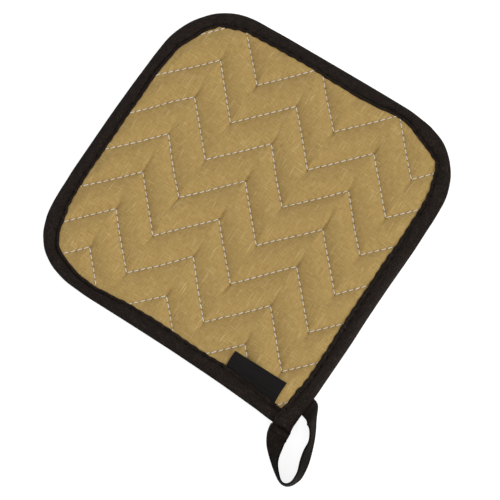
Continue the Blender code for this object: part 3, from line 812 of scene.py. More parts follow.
width_values = np.array([row[2] for row in FACE_WIDTHS])[np.argsort(width_places)]
width_places = np.sort(width_places)


def face_width(along):
    """Width of tape seen on the face, uneven from hand feeding."""
    return eased(width_places, width_values, along)


print(f"tape shows {width_values.min():.1f} to {width_values.max():.1f} mm wide on the face")

# %% Pale thread
pale_thread, tree, shader = cloth_finish("pale_thread", 0.7, 0.1, 0.3)
twist = twist_of(tree, 0.6)
colour = blended(tree, twist, (0.740, 0.670, 0.560, 1.0), (0.940, 0.890, 0.800, 1.0))
tree.links.new(colour, shader.inputs["Base Color"])
bumped(tree, shader, twist, 0.5, 0.0001)

# %% Where the quilting's stitches show
THREAD_LENGTH = 0.86  # as a share of the pitch
UNDER_TAPE = 0.8  # mm; a stitch whose middle is this near under the tape still shows
STITCH_SLOPE = 0.25  # of the cloth's own rise from end to end, on each side of its middle


def quilt_stitches(height_of, lift):
    """Both ends of every stitch that shows, on the face or on the back."""
    starts, ends = [], []
    for line in range(FIRST_LINE, LAST_LINE + 1):
        for number in range(FIRST_LEG, LAST_LEG):
            a, b = kinks(line, number), kinks(line, number + 1)
            holes = a + (b - a) * (np.arange(LEG_STITCHES + 1) / LEG_STITCHES)[:, None]
            starts.append(holes[:-1])
            ends.append(holes[1:])
    starts, ends = np.concatenate(starts), np.concatenate(ends)
    starts, ends = starts + off_line(starts), ends + off_line(ends)
    middle, spare = (starts + ends) / 2.0, (1.0 - THREAD_LENGTH) / 2.0
    shortened = (ends - starts) * spare
    starts, ends = starts + shortened, ends - shortened
    depth, along = beside_edge(middle)
    seen = depth > face_width(along) - UNDER_TAPE
    if lift > 0.0:  # on the face, where the label hides some
        seen &= label_near(middle, 0.1) < 0.5
    starts, ends, middle = starts[seen], ends[seen], middle[seen]
    height = height_of(middle) + lift
    slope = height_of(ends) - height_of(starts)
    starts = np.c_[starts, height - STITCH_SLOPE * slope]
    ends = np.c_[ends, height + STITCH_SLOPE * slope]
    return starts, ends


# %% Sewing the quilting
# The back's stitches are a little thinner and plainer, because they are hardly seen.
THREAD_RADIUS, THREAD_DIVE, BACK_THREAD = 0.27, 0.42, 0.9
ABOVE_FACE, BELOW_BACK = 0.22, -0.12  # mm, of a thread's middle

draw = np.random.default_rng(8)
starts, ends = quilt_stitches(face_height, ABOVE_FACE)
sewn_row(
    "quilting_thread_face", starts, ends, THREAD_RADIUS * draw.uniform(0.85, 1.12, len(starts)),
    THREAD_DIVE, pale_thread, stitch_shape(7, 9), tilt=draw.normal(0.22, 0.1, len(starts)),
)
starts, ends = quilt_stitches(back_height, BELOW_BACK)
sewn_row(
    "quilting_thread_back", starts, ends, THREAD_RADIUS * BACK_THREAD, THREAD_DIVE, pale_thread,
    stitch_shape(5, 6), up=-1.0,
)

# %% [markdown]
# ## The binding
#
# A flat tape, one inch wide, is folded lengthwise over the raw edge and sewn
# through. It could be a swept curve with a bevel, but its width changes, its
# inner edge is drawn in between the stitches, and at the loop's corner it passes
# over its own start. So the cut across it is worked out at each place along the
# edge, and a grid is rolled into that long folded shape.

# %% The seam's place
BIND_PITCH = 6.6  # long stitches of the binding
SEAM_IN, SEAM_FURTHER = 2.0, 0.75  # the seam, from the tape's inner edge, and more on the +X side
PLUS_X_SIDE = (612.0, 640.0)  # along the outline, where the tape has turned on to the +X side
FURTHER_ENDS = (4.0, 24.0)  # before the outline's end
ROUND_CORNERS = ((-84.0, -86.0), (-85.0, 86.0), (86.0, 87.0))
ROUND_REACH = (44.0, 26.0)


def seam_inset(along):
    """How far from the tape's inner edge its seam runs."""
    ending = smooth(EDGE_LENGTH - FURTHER_ENDS[0], EDGE_LENGTH - FURTHER_ENDS[1], along)
    return SEAM_IN + SEAM_FURTHER * smooth(*PLUS_X_SIDE, along) * ending


def cornering(along):
    """1 where the tape turns a rounded corner, 0 on the straights."""
    place = edge_at(along)[0]
    far = np.min([np.hypot(place[:, 0] - x, place[:, 1] - y) for x, y in ROUND_CORNERS], axis=0)
    return smooth(*ROUND_REACH, far)


print("seam runs", seam_inset(np.array((100.0, 700.0))).round(2), "mm from the tape's inner edge")

# %% Over the loop's corner
CROSSING = (  # over the loop's corner: x, y of the fold, aim of the width, width, underside, top
    (99.8, -93.0, 180.0, 11.2, 1.5, 7.5),
    (99.7, -96.0, 180.0, 11.6, 1.0, 8.0),
    (99.6, -100.8, 180.5, 12.2, 1.0, 8.1),
    (99.9, -104.0, 181.0, 12.5, 1.0, 8.1),
    (100.1, -104.9, 181.5, 12.7, 1.2, 7.6),
    (100.2, -105.4, 181.5, 12.8, 1.5, 6.2),
    (100.3, -105.9, 181.5, 12.8, 1.9, 4.9),
    (100.4, -106.5, 181.5, 12.9, 2.2, 4.6),
    (100.5, -107.9, 181.5, 13.0, 2.3, 4.9),
    (100.6, -109.8, 182.0, 13.0, 2.4, 4.7),
)


def curve_through(rows, steps):
    """A smooth run through rows of numbers (a Catmull-Rom spline)."""
    rows = np.asarray(rows, float)
    padded = np.vstack([rows[:1], rows, rows[-1:]])
    t = (np.arange(steps) / steps)[:, None]
    run = [
        0.5 * (2 * b + (c - a) * t + (2 * a - 5 * b + 4 * c - d) * t**2 + (3 * b - a - 3 * c + d) * t**3)
        for a, b, c, d in zip(padded, padded[1:], padded[2:], padded[3:])
    ]
    return np.vstack(run + [rows[-1:]])


# %% Where the tape goes
# Its cuts stand six to a stitch, counted along the seam, because that is where
# the stitches are.
RAW_START, TAPE_LEAVES = 3.7, 17.0  # after the outline's start, and before its end
CUTS_A_STITCH, CUTS_A_ROW = 6.0, 5
MEASURE_STEP = 0.5  # mm along the outline, between places where the seam is measured
EDGE_HEIGHTS = (1.9, 7.0)  # underside and top of the tape, before it crosses the corner
RISES_OVER = (-89.0, -94.5)  # y, between which it goes from the pad on to its own start

close_by = np.arange(RAW_START, EDGE_LENGTH - TAPE_LEAVES, MEASURE_STEP)
fold, inward = edge_at(close_by)
seam_line = fold + inward * (face_width(close_by) - seam_inset(close_by))[:, None]
seam_far = np.r_[0.0, np.cumsum(np.linalg.norm(np.diff(seam_line, axis=0), axis=1))]
along = np.interp(np.arange(0.0, seam_far[-1], BIND_PITCH / CUTS_A_STITCH), seam_far, close_by)
fold, inward = edge_at(along)
aim = np.degrees(np.unwrap(np.arctan2(inward[:, 1], inward[:, 0])))
aim += 360.0 * np.round((180.0 - aim[-1]) / 360.0)
on_edge = np.c_[fold, aim, face_width(along), np.full((len(along), 2), EDGE_HEIGHTS)]
over_corner = curve_through(np.vstack([on_edge[-1:], CROSSING]), CUTS_A_ROW)[1:]
stations = np.vstack([on_edge, over_corner])
steps_over = np.linalg.norm(np.diff(stations[-len(over_corner) - 1:, :2], axis=0), axis=1)
along = np.r_[along, along[-1] + np.cumsum(steps_over)]
fold = stations[:, :2]
inward = np.c_[np.cos(np.radians(stations[:, 2])), np.sin(np.radians(stations[:, 2]))]
width = stations[:, 3]
crossing_share = np.r_[np.zeros(len(on_edge)), smooth(*RISES_OVER, over_corner[:, 1])]
seam_in = seam_inset(along)
seam_line = fold + inward * (width - seam_in)[:, None]
sewn_along = np.r_[0.0, np.cumsum(np.linalg.norm(np.diff(seam_line, axis=0), axis=1))]
print(f"tape: {len(stations)} cuts, seam {sewn_along[-1]:.0f} mm")

# %% What the seam does, by place along it
CLEAN_GROOVE = (  # where the seam shows as one clean groove, by distance along the tape
    (0.0, 0.1), (130.0, 0.1), (140.0, 0.95), (199.0, 0.95), (206.0, 0.1), (305.0, 0.1),
    (318.0, 0.7), (372.0, 0.8), (384.0, 0.1), (478.0, 0.1), (492.0, 0.85), (520.0, 0.8),
    (530.0, 0.2), (540.0, 0.9), (552.0, 0.8), (560.0, 0.1), (800.0, 0.0),
)
SLACK_STARTS, SLACK_ENDS = (20.0, 26.0), (56.0, 50.0)  # and where its stitches pull less

sewing_place = np.c_[sewn_along, np.zeros(len(sewn_along))]
from_hole = (np.abs((sewn_along / BIND_PITCH + 0.5) % 1.0 - 0.5) * BIND_PITCH)[:, None]
clean = np.interp(along, *np.array(CLEAN_GROOVE).T)[:, None]
sewn = 1.0 - clean
turning = cornering(np.clip(along, 0.0, EDGE_LENGTH))[:, None]
seam, lip = (width - seam_in)[:, None], seam_in[:, None]
slack = smooth(*SLACK_STARTS, along) * smooth(*SLACK_ENDS, along)
print(f"the seam is a clean groove along {np.mean(clean > 0.5):.0%} of the tape")

# %% Points from the fold to the inner edge
FOLD = 3.3  # how far in the rounded fold reaches
FOLD_TURNS = np.radians((22.0, 45.0, 68.0, 90.0))
TO_SEAM = np.array((0.16, 0.34, 0.52, 0.70, 0.85))  # from the fold towards the seam
BY_SEAM = np.array((-0.65, -0.35, 0.0, 0.35, 0.65))  # mm beside the seam
TO_RIM = np.array((0.5, 0.72, 0.9, 1.0))  # from the seam to the inner edge
DRAWN_IN, UNEVEN = 0.22, 0.08  # mm, of the inner edge by the stitches and by hand
PLEAT_PITCH = 6.4


def pleats_of(side):
    """Soft ridges across one half of the tape, unevenly spaced."""
    shift = 2.2 * drift(sewing_place, 60.0, 31 + side)
    return np.sin(sewn_along * 2.0 * math.pi / PLEAT_PITCH + shift)[:, None]


def tape_depths(side):
    """How far in each point lies, as a share of the way to the seam, and of the way past it."""
    curve = FOLD * (1.0 - np.cos(FOLD_TURNS))
    depth = np.hstack([
        np.broadcast_to(curve, (len(along), len(curve))),
        FOLD + (seam - FOLD) * TO_SEAM[None],
        seam + BY_SEAM[None],
        seam + lip * TO_RIM[None],
    ])
    past = np.clip((depth - seam) / lip, 0.0, 1.0)
    share = np.clip((depth - FOLD) / (seam - FOLD), 0.0, 1.0)
    wave = -DRAWN_IN * sewn * np.cos(from_hole * 2.0 * math.pi / BIND_PITCH)
    wave = wave + (0.04 + 0.12 * turning) * sewn * pleats_of(side)
    wave = wave + UNEVEN * drift(sewing_place, 17.0, 41 + side)[:, None]
    return depth - wave * past, share, past


# %% How the tape stands
# Highest near the fold, it slopes down to the seam and stands up again as a lip.
TUCKS = ((202.0, 0.5), (345.0, 0.4), (393.0, 0.6), (548.0, 0.7))  # small folds: how far along, depth
TUCK_WIDE, RIDGE_AWAY, RIDGE_WIDE = 0.9, 2.2, 1.4  # mm: a tuck's groove, and the ridge beside it
RIDGE_SHARE = 0.5  # of the tuck's depth
FOLD_UP, SLOPE_DOWN, BODY_ROUND = 0.25, 0.5, 0.25  # mm, from the fold to the seam
LIP_UP, LIP_ROUND, RIM_DOWN = 0.25, 0.25, 0.35  # mm, past the seam
PLEAT_HEIGHT, SOFT_LUMPS, FINE_LUMPS = 0.34, 0.16, 0.07  # mm
DIMPLE_WIDE, DIMPLE_LONG, GROOVE_WIDE = 0.6, 1.05, 0.30
DIMPLE_DEEP, GROOVE_DEEP = 0.45, 0.5
LOWEST = -0.6  # it never sinks into the pad


def seam_marks(depth, side):
    """The dimples at the stitches' ends, and the groove that joins them."""
    pull = np.clip(0.85 + 0.35 * drift(sewing_place, 15.0, 45 + side)[:, None], 0.35, 1.2)
    pull = pull * (1.0 - 0.6 * slack)[:, None]
    at_end = 0.1 + 0.9 * np.exp(-((from_hole / DIMPLE_LONG) ** 2))
    dimple = np.exp(-(((depth - seam) / DIMPLE_WIDE) ** 2)) * at_end * pull
    return dimple, np.exp(-(((depth - seam) / GROOVE_WIDE) ** 2))


def relief(spots, share, past, dimple, groove, side):
    """How far one half of the tape stands above what it lies on."""
    body = FOLD_UP - SLOPE_DOWN * share**3 + BODY_ROUND * np.sin(math.pi * share) * (past == 0.0)
    body = body + LIP_UP * smooth(0.0, 0.6, past)
    body = body + (LIP_ROUND + LIP_ROUND * clean) * np.sin(math.pi * past**0.6)
    body = body - DIMPLE_DEEP * sewn * dimple - GROOVE_DEEP * clean * groove
    body = body - RIM_DOWN * smooth(0.85, 1.0, past)
    body = body + PLEAT_HEIGHT * turning * (1.0 - 0.7 * clean) * pleats_of(side) * smooth(0.35, 1.0, share)
    body = body + SOFT_LUMPS * drift(spots, 13.0, 51 + side) * smooth(0.0, 0.3, share)
    body = body + FINE_LUMPS * drift(spots, 4.6, 55 + side) * smooth(0.0, 0.3, share)
    for tuck, deep in TUCKS:
        fold_line = along[:, None] - tuck - 1.2 * (share - 0.5)
        ridge = RIDGE_SHARE * deep * np.exp(-(((fold_line - RIDGE_AWAY) / RIDGE_WIDE) ** 2))
        body = body - deep * np.exp(-((fold_line / TUCK_WIDE) ** 2)) * smooth(0.1, 0.7, share)
        body = body + ridge * smooth(0.1, 0.7, share)
    return np.maximum(body, LOWEST)


def half_cut(rests_on, side):
    """One half of the tape: its points, what lies under them, their relief and the painted shade of its
    seam.
    """
    depth, share, past = tape_depths(side)
    spots = fold[:, None] + inward[:, None] * depth[..., None]
    rest = rests_on(spots.reshape(-1, 2)).reshape(depth.shape)
    dimple, groove = seam_marks(depth, side)
    body = relief(spots, share, past, dimple, groove, side)
    # Painted shade in the seam's groove and dimples.
    shadow = np.clip(clean * groove + sewn * dimple, 0.0, 1.0)
    return spots, rest, body, shadow


def label_lift(spots):
    """How much the label under the tape raises it."""
    return LABEL_LIFT * label_near(spots.reshape(-1, 2), 3.0).reshape(spots.shape[:2])


# %% Both halves, over the pad and over the corner
TAPE, LAYER = 0.9, 0.5  # thickness with its edge turned under, and of one layer as in the loop
LABEL_LIFT = 0.4

over = crossing_share[:, None]
spots, rest, body, shadow = half_cut(face_height, 0)
top = (rest + TAPE + label_lift(spots)) * (1.0 - over) + stations[:, 5][:, None] * over + body
low_spots, low_rest, low_body, low_shadow = half_cut(back_height, 1)
under = (low_rest - TAPE) * (1.0 - over) + stations[:, 4][:, None] * over - low_body
turns = len(FOLD_TURNS)
middle = (top[:, turns - 1] + under[:, turns - 1])[:, None] / 2.0
half = (top[:, turns - 1] - under[:, turns - 1])[:, None] / 2.0
bulge = np.sin(FOLD_TURNS)[None] ** 0.85
top[:, :turns] = middle + half * bulge
under[:, :turns] = middle - half * bulge
thin = TAPE * (1.0 - over) + LAYER * over
print(f"the fold is {2.0 * half.mean():.1f} mm high on average")

# %% Its painted shade and its painted highlight
# Each point keeps its painted shade: dark in the seam, along the crease where the
# strap begins, on the fold's rim and beside the edge that crosses the corner. On
# the +X side the fold gets a painted highlight where the light catches it, kept
# as less than no shadow.
CREASE_Y, CREASE_NARROW = -106.0, 0.6  # of the crease where the strap begins
# Painted shade on the fold's rim, more over the corner, and a painted shadow along the inner edge where it
# lies over the tape's start.
FOLD_RIM_SHADE, FOLD_RIM_SHADE_OVER = np.array((0.3, 0.0, 0.0, 0.0)), np.array((0.5, 0.4, 0.1, 0.0))
INNER_RIM_SHADOW = np.array((0.45, 0.95))
LIGHTER_PAINT_ENDS, LIGHTER_PAINT_WIDE = (17.0, 40.0), 2.6  # before the outline's end, and from the fold

by_crease = np.exp(-(((fold[:, 1] - CREASE_Y) / CREASE_NARROW) ** 2))
crease_shade = np.where(crossing_share > 0.9, by_crease, 0.0)
shadow = np.maximum(shadow, crease_shade[:, None] * smooth(11.0, 8.0, fold[:, :1] - spots[..., 0]))
for one_shadow in (shadow, low_shadow):
    one_shadow[:, :turns] = np.maximum(FOLD_RIM_SHADE + over * FOLD_RIM_SHADE_OVER, crease_shade[:, None])
shadow[:, -2:] = np.maximum(shadow[:, -2:], over * INNER_RIM_SHADOW)
# A painted highlight along the fold on the +X side, where the light catches it.
painted_lighter_end = smooth(EDGE_LENGTH - LIGHTER_PAINT_ENDS[0], EDGE_LENGTH - LIGHTER_PAINT_ENDS[1], along)
painted_lighter = smooth(*PLUS_X_SIDE, along) * painted_lighter_end
shadow -= painted_lighter[:, None] * np.exp(-((np.linalg.norm(spots - fold[:, None], axis=2) / LIGHTER_PAINT_WIDE) ** 2))
print(f"the fold is rubbed along {np.mean(painted_lighter > 0.5):.0%} of the tape")

# %% The whole cut, outside and inside
INSIDE = (-1, -5, -9, -12, 3, 1)  # which outside points have one inside them
INSIDE_IN = (0.0, 0.0, 0.0, 0.0, 0.5, 1.0)  # and how far in from the fold it moves, in thicknesses
# The fold's very edge gets painted shade.
APEX_IN, APEX_SHADOW = 0.2, 0.6  # mm past the tape's thickness, and how dark the fold's very edge is

apex = np.dstack([fold[:, None], middle[..., None]])
outer_low = np.dstack([low_spots, under])[:, ::-1]
outer_top = np.dstack([spots, top])
inner_top = np.dstack([spots, top - thin])[:, INSIDE]
inner_low = np.dstack([low_spots, under + thin])[:, INSIDE]
for inner in (inner_top, inner_low):
    inner[..., :2] += inward[:, None] * (thin * np.array(INSIDE_IN)[None])[..., None]
inner_apex = np.dstack([(fold + inward * (thin + APEX_IN))[:, None], middle[..., None]])
binding_cuts = np.concatenate([
    outer_low, apex, outer_top, inner_top, inner_apex, inner_low[:, ::-1],
], axis=1)
binding_shadow = np.hstack([
    low_shadow[:, ::-1], 0.0 * middle + APEX_SHADOW, shadow, np.zeros((len(fold), 2 * len(INSIDE) + 1)),
])
print("each cut has", binding_cuts.shape[1], "points")


# %% Rolling a grid into a folded tape
def rolled(name, cuts, along_it, finish, shadow):
    """A closed, folded sheet through its cuts, with a UV map in metres of cloth."""
    stations, points = cuts.shape[:2]
    mesh = bmesh.new()
    bmesh.ops.create_grid(mesh, x_segments=points, y_segments=stations - 1, size=1.0)
    cloth = mesh.loops.layers.uv.new("cloth")
    # Each point's painted shade, or painted highlight below 0, is kept in an attribute.
    painted_shade_and_highlight = mesh.verts.layers.float.new("painted_shade_and_highlight")
    grid = gathered(mesh)
    column = np.round((grid[:, 0] + 1.0) / 2.0 * points).astype(int)
    row = np.round((grid[:, 1] + 1.0) / 2.0 * (stations - 1)).astype(int)
    edge_lengths = np.linalg.norm(np.roll(cuts, -1, axis=1) - cuts, axis=2).mean(axis=0)
    across = np.r_[0.0, np.cumsum(edge_lengths)]
    for vertex, c, r in zip(mesh.verts, column, row):
        vertex.co = cuts[r, c % points]
        for loop in vertex.link_loops:
            loop[cloth].uv = (along_it[r] / 1000.0, across[c] / 1000.0)
        vertex[painted_shade_and_highlight] = shadow[r, c % points]
    # The grid's two sides meet in a tube, whose ends are then closed.
    bmesh.ops.remove_doubles(mesh, verts=mesh.verts[:], dist=1e-5)
    bmesh.ops.holes_fill(mesh, edges=[edge for edge in mesh.edges if edge.is_boundary], sides=0)
    bmesh.ops.recalc_face_normals(mesh, faces=mesh.faces[:])
    piece = finished(mesh, name, finish)
    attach(piece, "root")
    return piece


# %% [markdown]
# ### Black tape
#
# The tape is a flat cotton weave, brown-black rather than black. It has no gloss,
# its threads only catch a soft gleam, and a little pale lint sits on it. The
# pattern follows the cloth's own UV map, so the weave turns with the tape. Each
# point keeps a painted shade, which makes the cloth darker and duller; where it
# is less than nothing it is a painted highlight, which makes the cloth paler.

# %% Black tape: its streaks
TAPE_ROUGHNESS = 0.5  # in the open; the shadow adds to it

black_tape, tree, shader = cloth_finish("black_tape", TAPE_ROUGHNESS, 0.0, 0.14)
place = in_millimetres(tree, add(tree, "ShaderNodeUVMap", uv_map="cloth").outputs[0])
tape_threads = grouped(tree, weave, place, Thread_pitch=0.55, Unevenness=0.3)
warp = grouped(tree, slubs, place, Along_X=2.8, Along_Y=0.48, Sharpness=8.0)
weft = grouped(tree, slubs, place, Along_X=0.48, Along_Y=2.2, Sharpness=8.0)
knots = grouped(tree, slubs, place, Along_X=0.9, Along_Y=0.9, Sharpness=8.0)
ribs = maths(tree, "ADD", maths(tree, "MULTIPLY", warp, 0.36), maths(tree, "MULTIPLY", weft, 0.34))
ribs = maths(tree, "ADD", ribs, maths(tree, "MULTIPLY", knots, 0.3))
lengthwise = grouped(tree, slubs, place, Along_X=8.0, Along_Y=0.7, Sharpness=2.6)
wear = grouped(tree, slubs, place, Along_X=6.5, Along_Y=4.5, Sharpness=3.0)
specks = grouped(tree, lint, place, Spacing=3.2, Size=0.3)

# %% Black tape: its colour and its bump
colour = blended(tree, ribs, (0.0004, 0.0001, 0.0001, 1.0), (0.0450, 0.0292, 0.0205, 1.0))
colour = blended(tree, maths(tree, "MULTIPLY", lengthwise, 0.3), colour, (0.0190, 0.0120, 0.0080, 1.0))
colour = blended(tree, maths(tree, "MULTIPLY", wear, 0.45), colour, (0.0040, 0.0020, 0.0013, 1.0))
colour = blended(tree, maths(tree, "MULTIPLY", specks, 0.3), colour, (0.100, 0.062, 0.044, 1.0))
# Painted shade darkens the colour and roughens it; below 0 the same attribute is a painted highlight that
# makes it paler.
shaded = add(tree, "ShaderNodeAttribute", attribute_name="painted_shade_and_highlight").outputs["Fac"]
painted_highlight = maths(tree, "MULTIPLY", shaded, -0.4, clamp=True)
colour = blended(tree, painted_highlight, colour, (0.0550, 0.0420, 0.0340, 1.0))
painted_shade_share = maths(tree, "MULTIPLY", shaded, 0.8, clamp=True)
colour = blended(tree, painted_shade_share, colour, (0.0022, 0.0016, 0.0013, 1.0))
tree.links.new(colour, shader.inputs["Base Color"])
rougher = maths(tree, "ADD", maths(tree, "MULTIPLY", shaded, 0.5, clamp=True), TAPE_ROUGHNESS)
tree.links.new(rougher, shader.inputs["Roughness"])
fine = bumped(tree, shader, tape_threads, 0.4, 0.00012)
bumped(tree, shader, ribs, 1.0, 0.0007, under=fine)

# %% The binding
binding = rolled("binding_tape", binding_cuts, sewn_along, black_tape, binding_shadow)
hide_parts("binding")

# %% Black thread
black_thread, tree, shader = cloth_finish("black_thread", 0.7, 0.0, 0.06)
colour = blended(tree, twist_of(tree, 0.0), (0.007, 0.005, 0.004, 1.0), (0.022, 0.017, 0.014, 1.0))
tree.links.new(colour, shader.inputs["Base Color"])

# %% The binding's thread
SEAM_POINT = turns + len(TO_SEAM) + 2  # the middle one of the points beside the seam
SEAM_CUTS = slice(4, -14)  # it stops short of the tape's ends
BIND_RADIUS, BIND_DIVE, BIND_LENGTH = 0.2, 0.3, 0.8  # the last as a share of the pitch
THREAD_PROUD = np.array((0.0, 0.0, 0.08))


def along_seam(line, far, pitch, share):
    """Both ends of each stitch along a run of points, far being the distance at each."""
    holes = np.arange(math.ceil(far[0] / pitch), far[-1] // pitch + 1) * pitch
    spare = pitch * (1.0 - share) / 2.0
    ends = [np.stack([np.interp(at, far, line[:, k]) for k in range(3)], axis=-1)
            for at in (holes[:-1] + spare, holes[1:] - spare)]
    return ends


face_seam = outer_top[:, SEAM_POINT] + THREAD_PROUD
back_seam = outer_low[:, ::-1][:, SEAM_POINT] - THREAD_PROUD
for name, line, up in (("binding_thread_face", face_seam, 1.0), ("binding_thread_back", back_seam, -1.0)):
    starts, ends = along_seam(line[SEAM_CUTS], sewn_along[SEAM_CUTS], BIND_PITCH, BIND_LENGTH)
    sewn_row(name, starts, ends, BIND_RADIUS, BIND_DIVE, black_thread, stitch_shape(6, 6), up=up)

# %% [markdown]
# ## The label
#
# A small piece of black satin ribbon, left bare here. Its lower edge went under
# the binding before that was sewn, and the rest lies loose on the puffs. It is
# thin, so it is a grid laid over the padding and given a little thickness.

# %% Black satin
black_satin, tree, shader = cloth_finish("black_satin", 0.6, 0.0, 0.1)
place = in_millimetres(tree, add(tree, "ShaderNodeTexCoord").outputs["Object"])
satin = grouped(tree, weave, place, Thread_pitch=0.22, Unevenness=0.1)
satin_lines = grouped(tree, slubs, place, Along_X=12.0, Along_Y=0.5, Sharpness=1.4)
colour = blended(tree, satin_lines, (0.0062, 0.0054, 0.0053, 1.0), (0.0125, 0.0110, 0.0106, 1.0))
tree.links.new(colour, shader.inputs["Base Color"])
bumped(tree, shader, satin, 0.25, 0.00005)

# %% The label laid over the puffs
LABEL_CLOTH, LABEL_TUCK = 0.4, 3.0  # its thickness, and what the binding holds of it
LABEL_SIDE_Y = -104.0  # the pad's side beside it
LABEL_LOOSE = (9.5, 14.0)  # depths between which it leaves the sewn cloth for the tops of the puffs
LABEL_ABOVE, LABEL_BILLOW = 0.12, 0.15  # mm over what it lies on
LABEL_CURL, CURL_REACH = 0.25, 4.0  # its free edge stands up a little

label_mesh = bmesh.new()
bmesh.ops.create_grid(label_mesh, x_segments=60, y_segments=28, size=1.0)
grid = gathered(label_mesh)
x = LABEL_LEFT + (LABEL_RIGHT - LABEL_LEFT) * (grid[:, 0] + 1.0) / 2.0
along_label = beside_edge(np.c_[x, np.full(len(x), LABEL_SIDE_Y)])[1]
edge_y = edge_at(along_label)[0][:, 1]
low = edge_y + face_width(along_label) - LABEL_TUCK
y = low + (LABEL_TOP - low) * (grid[:, 1] + 1.0) / 2.0
spots = np.c_[x, y]
loose = smooth(*LABEL_LOOSE, beside_edge(spots)[0])
z = face_height(spots, sewing=False) * loose + face_height(spots) * (1.0 - loose)
z += LABEL_ABOVE + LABEL_BILLOW * loose * (1.0 + drift(spots, 21.0, 61))
z += LABEL_CURL * smooth(LABEL_TOP - CURL_REACH, LABEL_TOP, y) * (0.6 + 0.4 * drift(spots, 30.0, 62))
for vertex, place in zip(label_mesh.verts, np.c_[spots, z]):
    vertex.co = place
raised = bmesh.ops.extrude_face_region(label_mesh, geom=label_mesh.faces[:])
upper = [part for part in raised["geom"] if isinstance(part, bmesh.types.BMVert)]
bmesh.ops.translate(label_mesh, verts=upper, vec=(0.0, 0.0, LABEL_CLOTH))
bmesh.ops.recalc_face_normals(label_mesh, faces=label_mesh.faces[:])

# %% The label
label = finished(label_mesh, "satin_label", black_satin)
label.data.set_sharp_from_angle(angle=math.radians(50.0))
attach(label, "root")
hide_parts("label")

# %% [markdown]
# ## The hanging loop
#
# Past the corner the tape goes on, folded flat on itself. It turns onto its edge,
# runs out, bends back round and goes under the binding, so from above it shows
# now its side and now only its edge. A curve with a bevel would twist it evenly,
# which the real one doesn't. So the strap is drawn by the path of its outer edge,
# with the direction and the lean of its width at each place.

# %% The loop's path
LOOP_ROWS = (  # x, y of the outer edge, its lift, the aim of the width and its lean (degrees)
    (86.9, -105.4, 3.3, 3.0, 0.0),
    (87.1, -107.4, 3.2, 3.0, 0.0),
    (87.35, -109.4, 3.0, 3.0, 0.0),
    (87.9, -111.9, 2.0, 6.0, 3.0),
    (89.1, -114.6, 0.9, 17.0, 10.0),
    (91.7, -118.45, 0.0, 33.0, 26.0),
    (96.0, -122.6, 0.0, 45.0, 46.0),
    (102.5, -127.75, 0.0, 54.0, 75.0),
    (109.65, -132.4, 0.0, 68.0, 88.0),
    (114.0, -133.2, 0.0, 99.0, 97.0),
    (117.1, -131.0, 0.0, 128.0, 95.0),
    (118.9, -127.4, 0.0, 150.0, 84.5),
    (119.8, -123.8, 0.0, 172.0, 78.5),
    (118.9, -115.7, 0.0, 193.0, 70.0),
    (116.9, -109.0, 0.0, 198.0, 72.5),
    (115.3, -104.9, 0.0, 203.0, 80.0),
    (113.5, -100.4, 0.0, 211.0, 79.5),
    (110.7, -94.7, 0.0, 235.0, 72.0),
    (107.0, -88.1, 0.0, 266.0, 46.0),
    (104.6, -82.7, 0.0, 269.0, 20.0),
    (102.3, -80.3, 0.0, 268.0, 2.0),
    (93.2, -78.6, 0.0, 268.0, 0.0),
)
STEPS_A_ROW = 8

strap = curve_through(LOOP_ROWS, STEPS_A_ROW)
print("strap has", len(strap), "cuts")

# %% The strap's cut
STRAP_WIDTH, STRAP_HALF = 12.4, 0.6
# The cut: mm across the strap from its open edges, and shares of STRAP_HALF through it.
STRAP_CUT = np.array((
    (0.0, 0.75), (0.3, 1.0), (1.2, 1.0), (2.0, 0.86), (2.8, 1.0), (4.5, 1.05), (6.5, 1.08), (8.5, 1.05),
    (10.4, 1.0), (11.5, 0.92), (12.1, 0.62), (12.4, 0.0), (12.1, -0.62), (11.5, -0.92), (10.4, -1.0),
    (8.5, -1.05), (6.5, -1.08), (4.5, -1.05), (2.8, -1.0), (2.0, -0.86), (1.2, -1.0), (0.3, -1.0),
    (0.0, -0.75), (0.05, -0.2), (6.0, -0.16), (11.2, -0.14), (11.2, 0.14), (6.0, 0.16), (0.05, 0.2),
))
STRAP_SEAM = (3, 19)  # the points of the cut where its seam runs
STRAP_CURL = 0.14  # mm that its middle stands off, one way or the other
EVENED_OVER = 1.4  # mm
STRAP_CLEAR = 0.02  # above the table
print("each cut has", len(STRAP_CUT), "points")

# %% Laying the strap
aim, lean = np.radians(strap[:, 3]), np.radians(strap[:, 4])
outer_edge = np.c_[strap[:, :2], np.maximum(0.0, strap[:, 2]) + STRAP_HALF * np.abs(np.cos(lean))]
across = np.c_[np.cos(lean) * np.cos(aim), np.cos(lean) * np.sin(aim), np.sin(lean)]
run = np.gradient(outer_edge, axis=0)
through = np.cross(across, run)
through /= np.linalg.norm(through, axis=1)[:, None]
strap_along = np.r_[0.0, np.cumsum(np.linalg.norm(np.diff(outer_edge, axis=0), axis=1))]
curl = STRAP_CURL * drift(np.c_[strap_along, np.zeros(len(strap_along))], 22.0, 71)[:, None]
thick = STRAP_CUT[None, :, 1] * STRAP_HALF + curl * np.sin(math.pi * STRAP_CUT[None, :, 0] / STRAP_WIDTH)
# It is narrower where it is folded into the binding, and pressed wide just beyond.
narrowed = 0.94 + 0.09 * smooth(1.5, 4.2, strap_along) - 0.03 * smooth(7.0, 13.0, strap_along)
wide = STRAP_CUT[None, :, 0] * narrowed[:, None]
loop_cuts = outer_edge[:, None] + across[:, None] * wide[..., None] + through[:, None] * thick[..., None]
# Where it turns sharply its inner side bunches up, so each cut is evened out with its neighbours.
apart_by = strap_along[:, None] - strap_along[None]
nearness = np.exp(-0.5 * (apart_by / EVENED_OVER) ** 2) * np.gradient(strap_along)[None]
loop_cuts = np.tensordot(nearness / nearness.sum(axis=1)[:, None], loop_cuts, axes=1)
loop_cuts[..., 2] += np.maximum(0.0, STRAP_CLEAR - loop_cuts[..., 2].min(axis=1))[:, None]
print(f"loop strap is {strap_along[-1]:.0f} mm long")
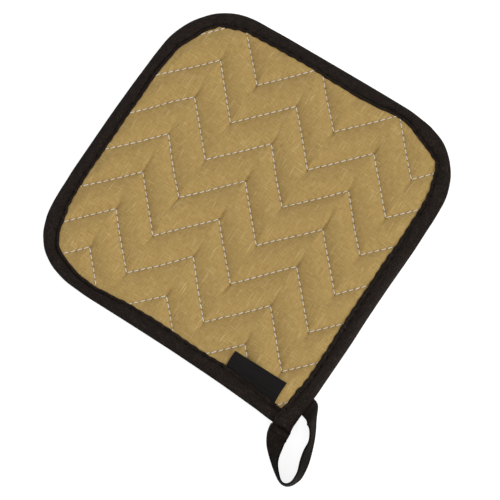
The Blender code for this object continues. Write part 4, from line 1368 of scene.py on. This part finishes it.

# %% Its painted shade and its painted highlight
# Painted shade along the strap, which also takes some of its gleam; below 0 it is a painted highlight, on
# the part that goes under the binding.
STRAP_PAINTED_SHADE = (  # how much of its gleam it loses, by distance along it; less than 0 is paler
    (0.0, 0.0), (14.0, 0.0), (20.0, 0.15), (27.0, 0.6), (34.0, 0.75), (41.0, 0.1), (50.0, 0.1),
    (58.0, 0.5), (67.0, 0.55), (72.0, 0.4), (78.0, 0.35), (84.0, 0.27), (87.0, 0.1),
    (91.0, -0.55), (112.0, -0.6),
)
GOES_UNDER = (88.0, 90.0)  # along it, from where it nears the binding's fold
BINDING_X, CONTACT_WIDE = 99.9, 0.75  # the dark line where it goes under
# Painted shade along its rims, and a painted shadow where it goes under the binding.
RIM_SHADOW, CONTACT_SHADOW = 0.55, 0.95

rim = smooth(10.6, 11.9, STRAP_CUT[:, 0]) + smooth(1.0, 0.2, STRAP_CUT[:, 0])
strap_painted_shade = np.interp(strap_along, *np.array(STRAP_PAINTED_SHADE).T)[:, None]
contact = np.exp(-(((loop_cuts[..., 0] - BINDING_X) / CONTACT_WIDE) ** 2))
under_edge = smooth(*GOES_UNDER, strap_along)[:, None] * contact
strap_shade_and_highlight = strap_painted_shade + (RIM_SHADOW + 0.5 * np.maximum(strap_painted_shade, 0.0)) * rim + CONTACT_SHADOW * under_edge
strap_shade_and_highlight = np.clip(strap_shade_and_highlight, -1.0, 1.0)
print(f"shadow on it runs from {strap_shade_and_highlight.min():.2f} to {strap_shade_and_highlight.max():.2f}")

# %% The loop
loop = rolled("hanging_loop", loop_cuts, strap_along, black_tape, strap_shade_and_highlight)
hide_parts("loop")

# %% The loop's thread
STRAP_SEAM_CUTS = slice(14, -10)
STRAP_THREAD_RADIUS, STRAP_THREAD_LENGTH, STRAP_THREAD_PROUD = 0.16, 0.82, 0.04

for name, point, away in zip(("loop_thread_outer", "loop_thread_inner"), STRAP_SEAM, (1.0, -1.0)):
    line = loop_cuts[:, point] + through * STRAP_THREAD_PROUD * away
    starts, ends = along_seam(line[STRAP_SEAM_CUTS], strap_along[STRAP_SEAM_CUTS], BIND_PITCH,
                              STRAP_THREAD_LENGTH)
    sewn_row(name, starts, ends, STRAP_THREAD_RADIUS, 0.0, black_thread, stitch_shape(6, 6))
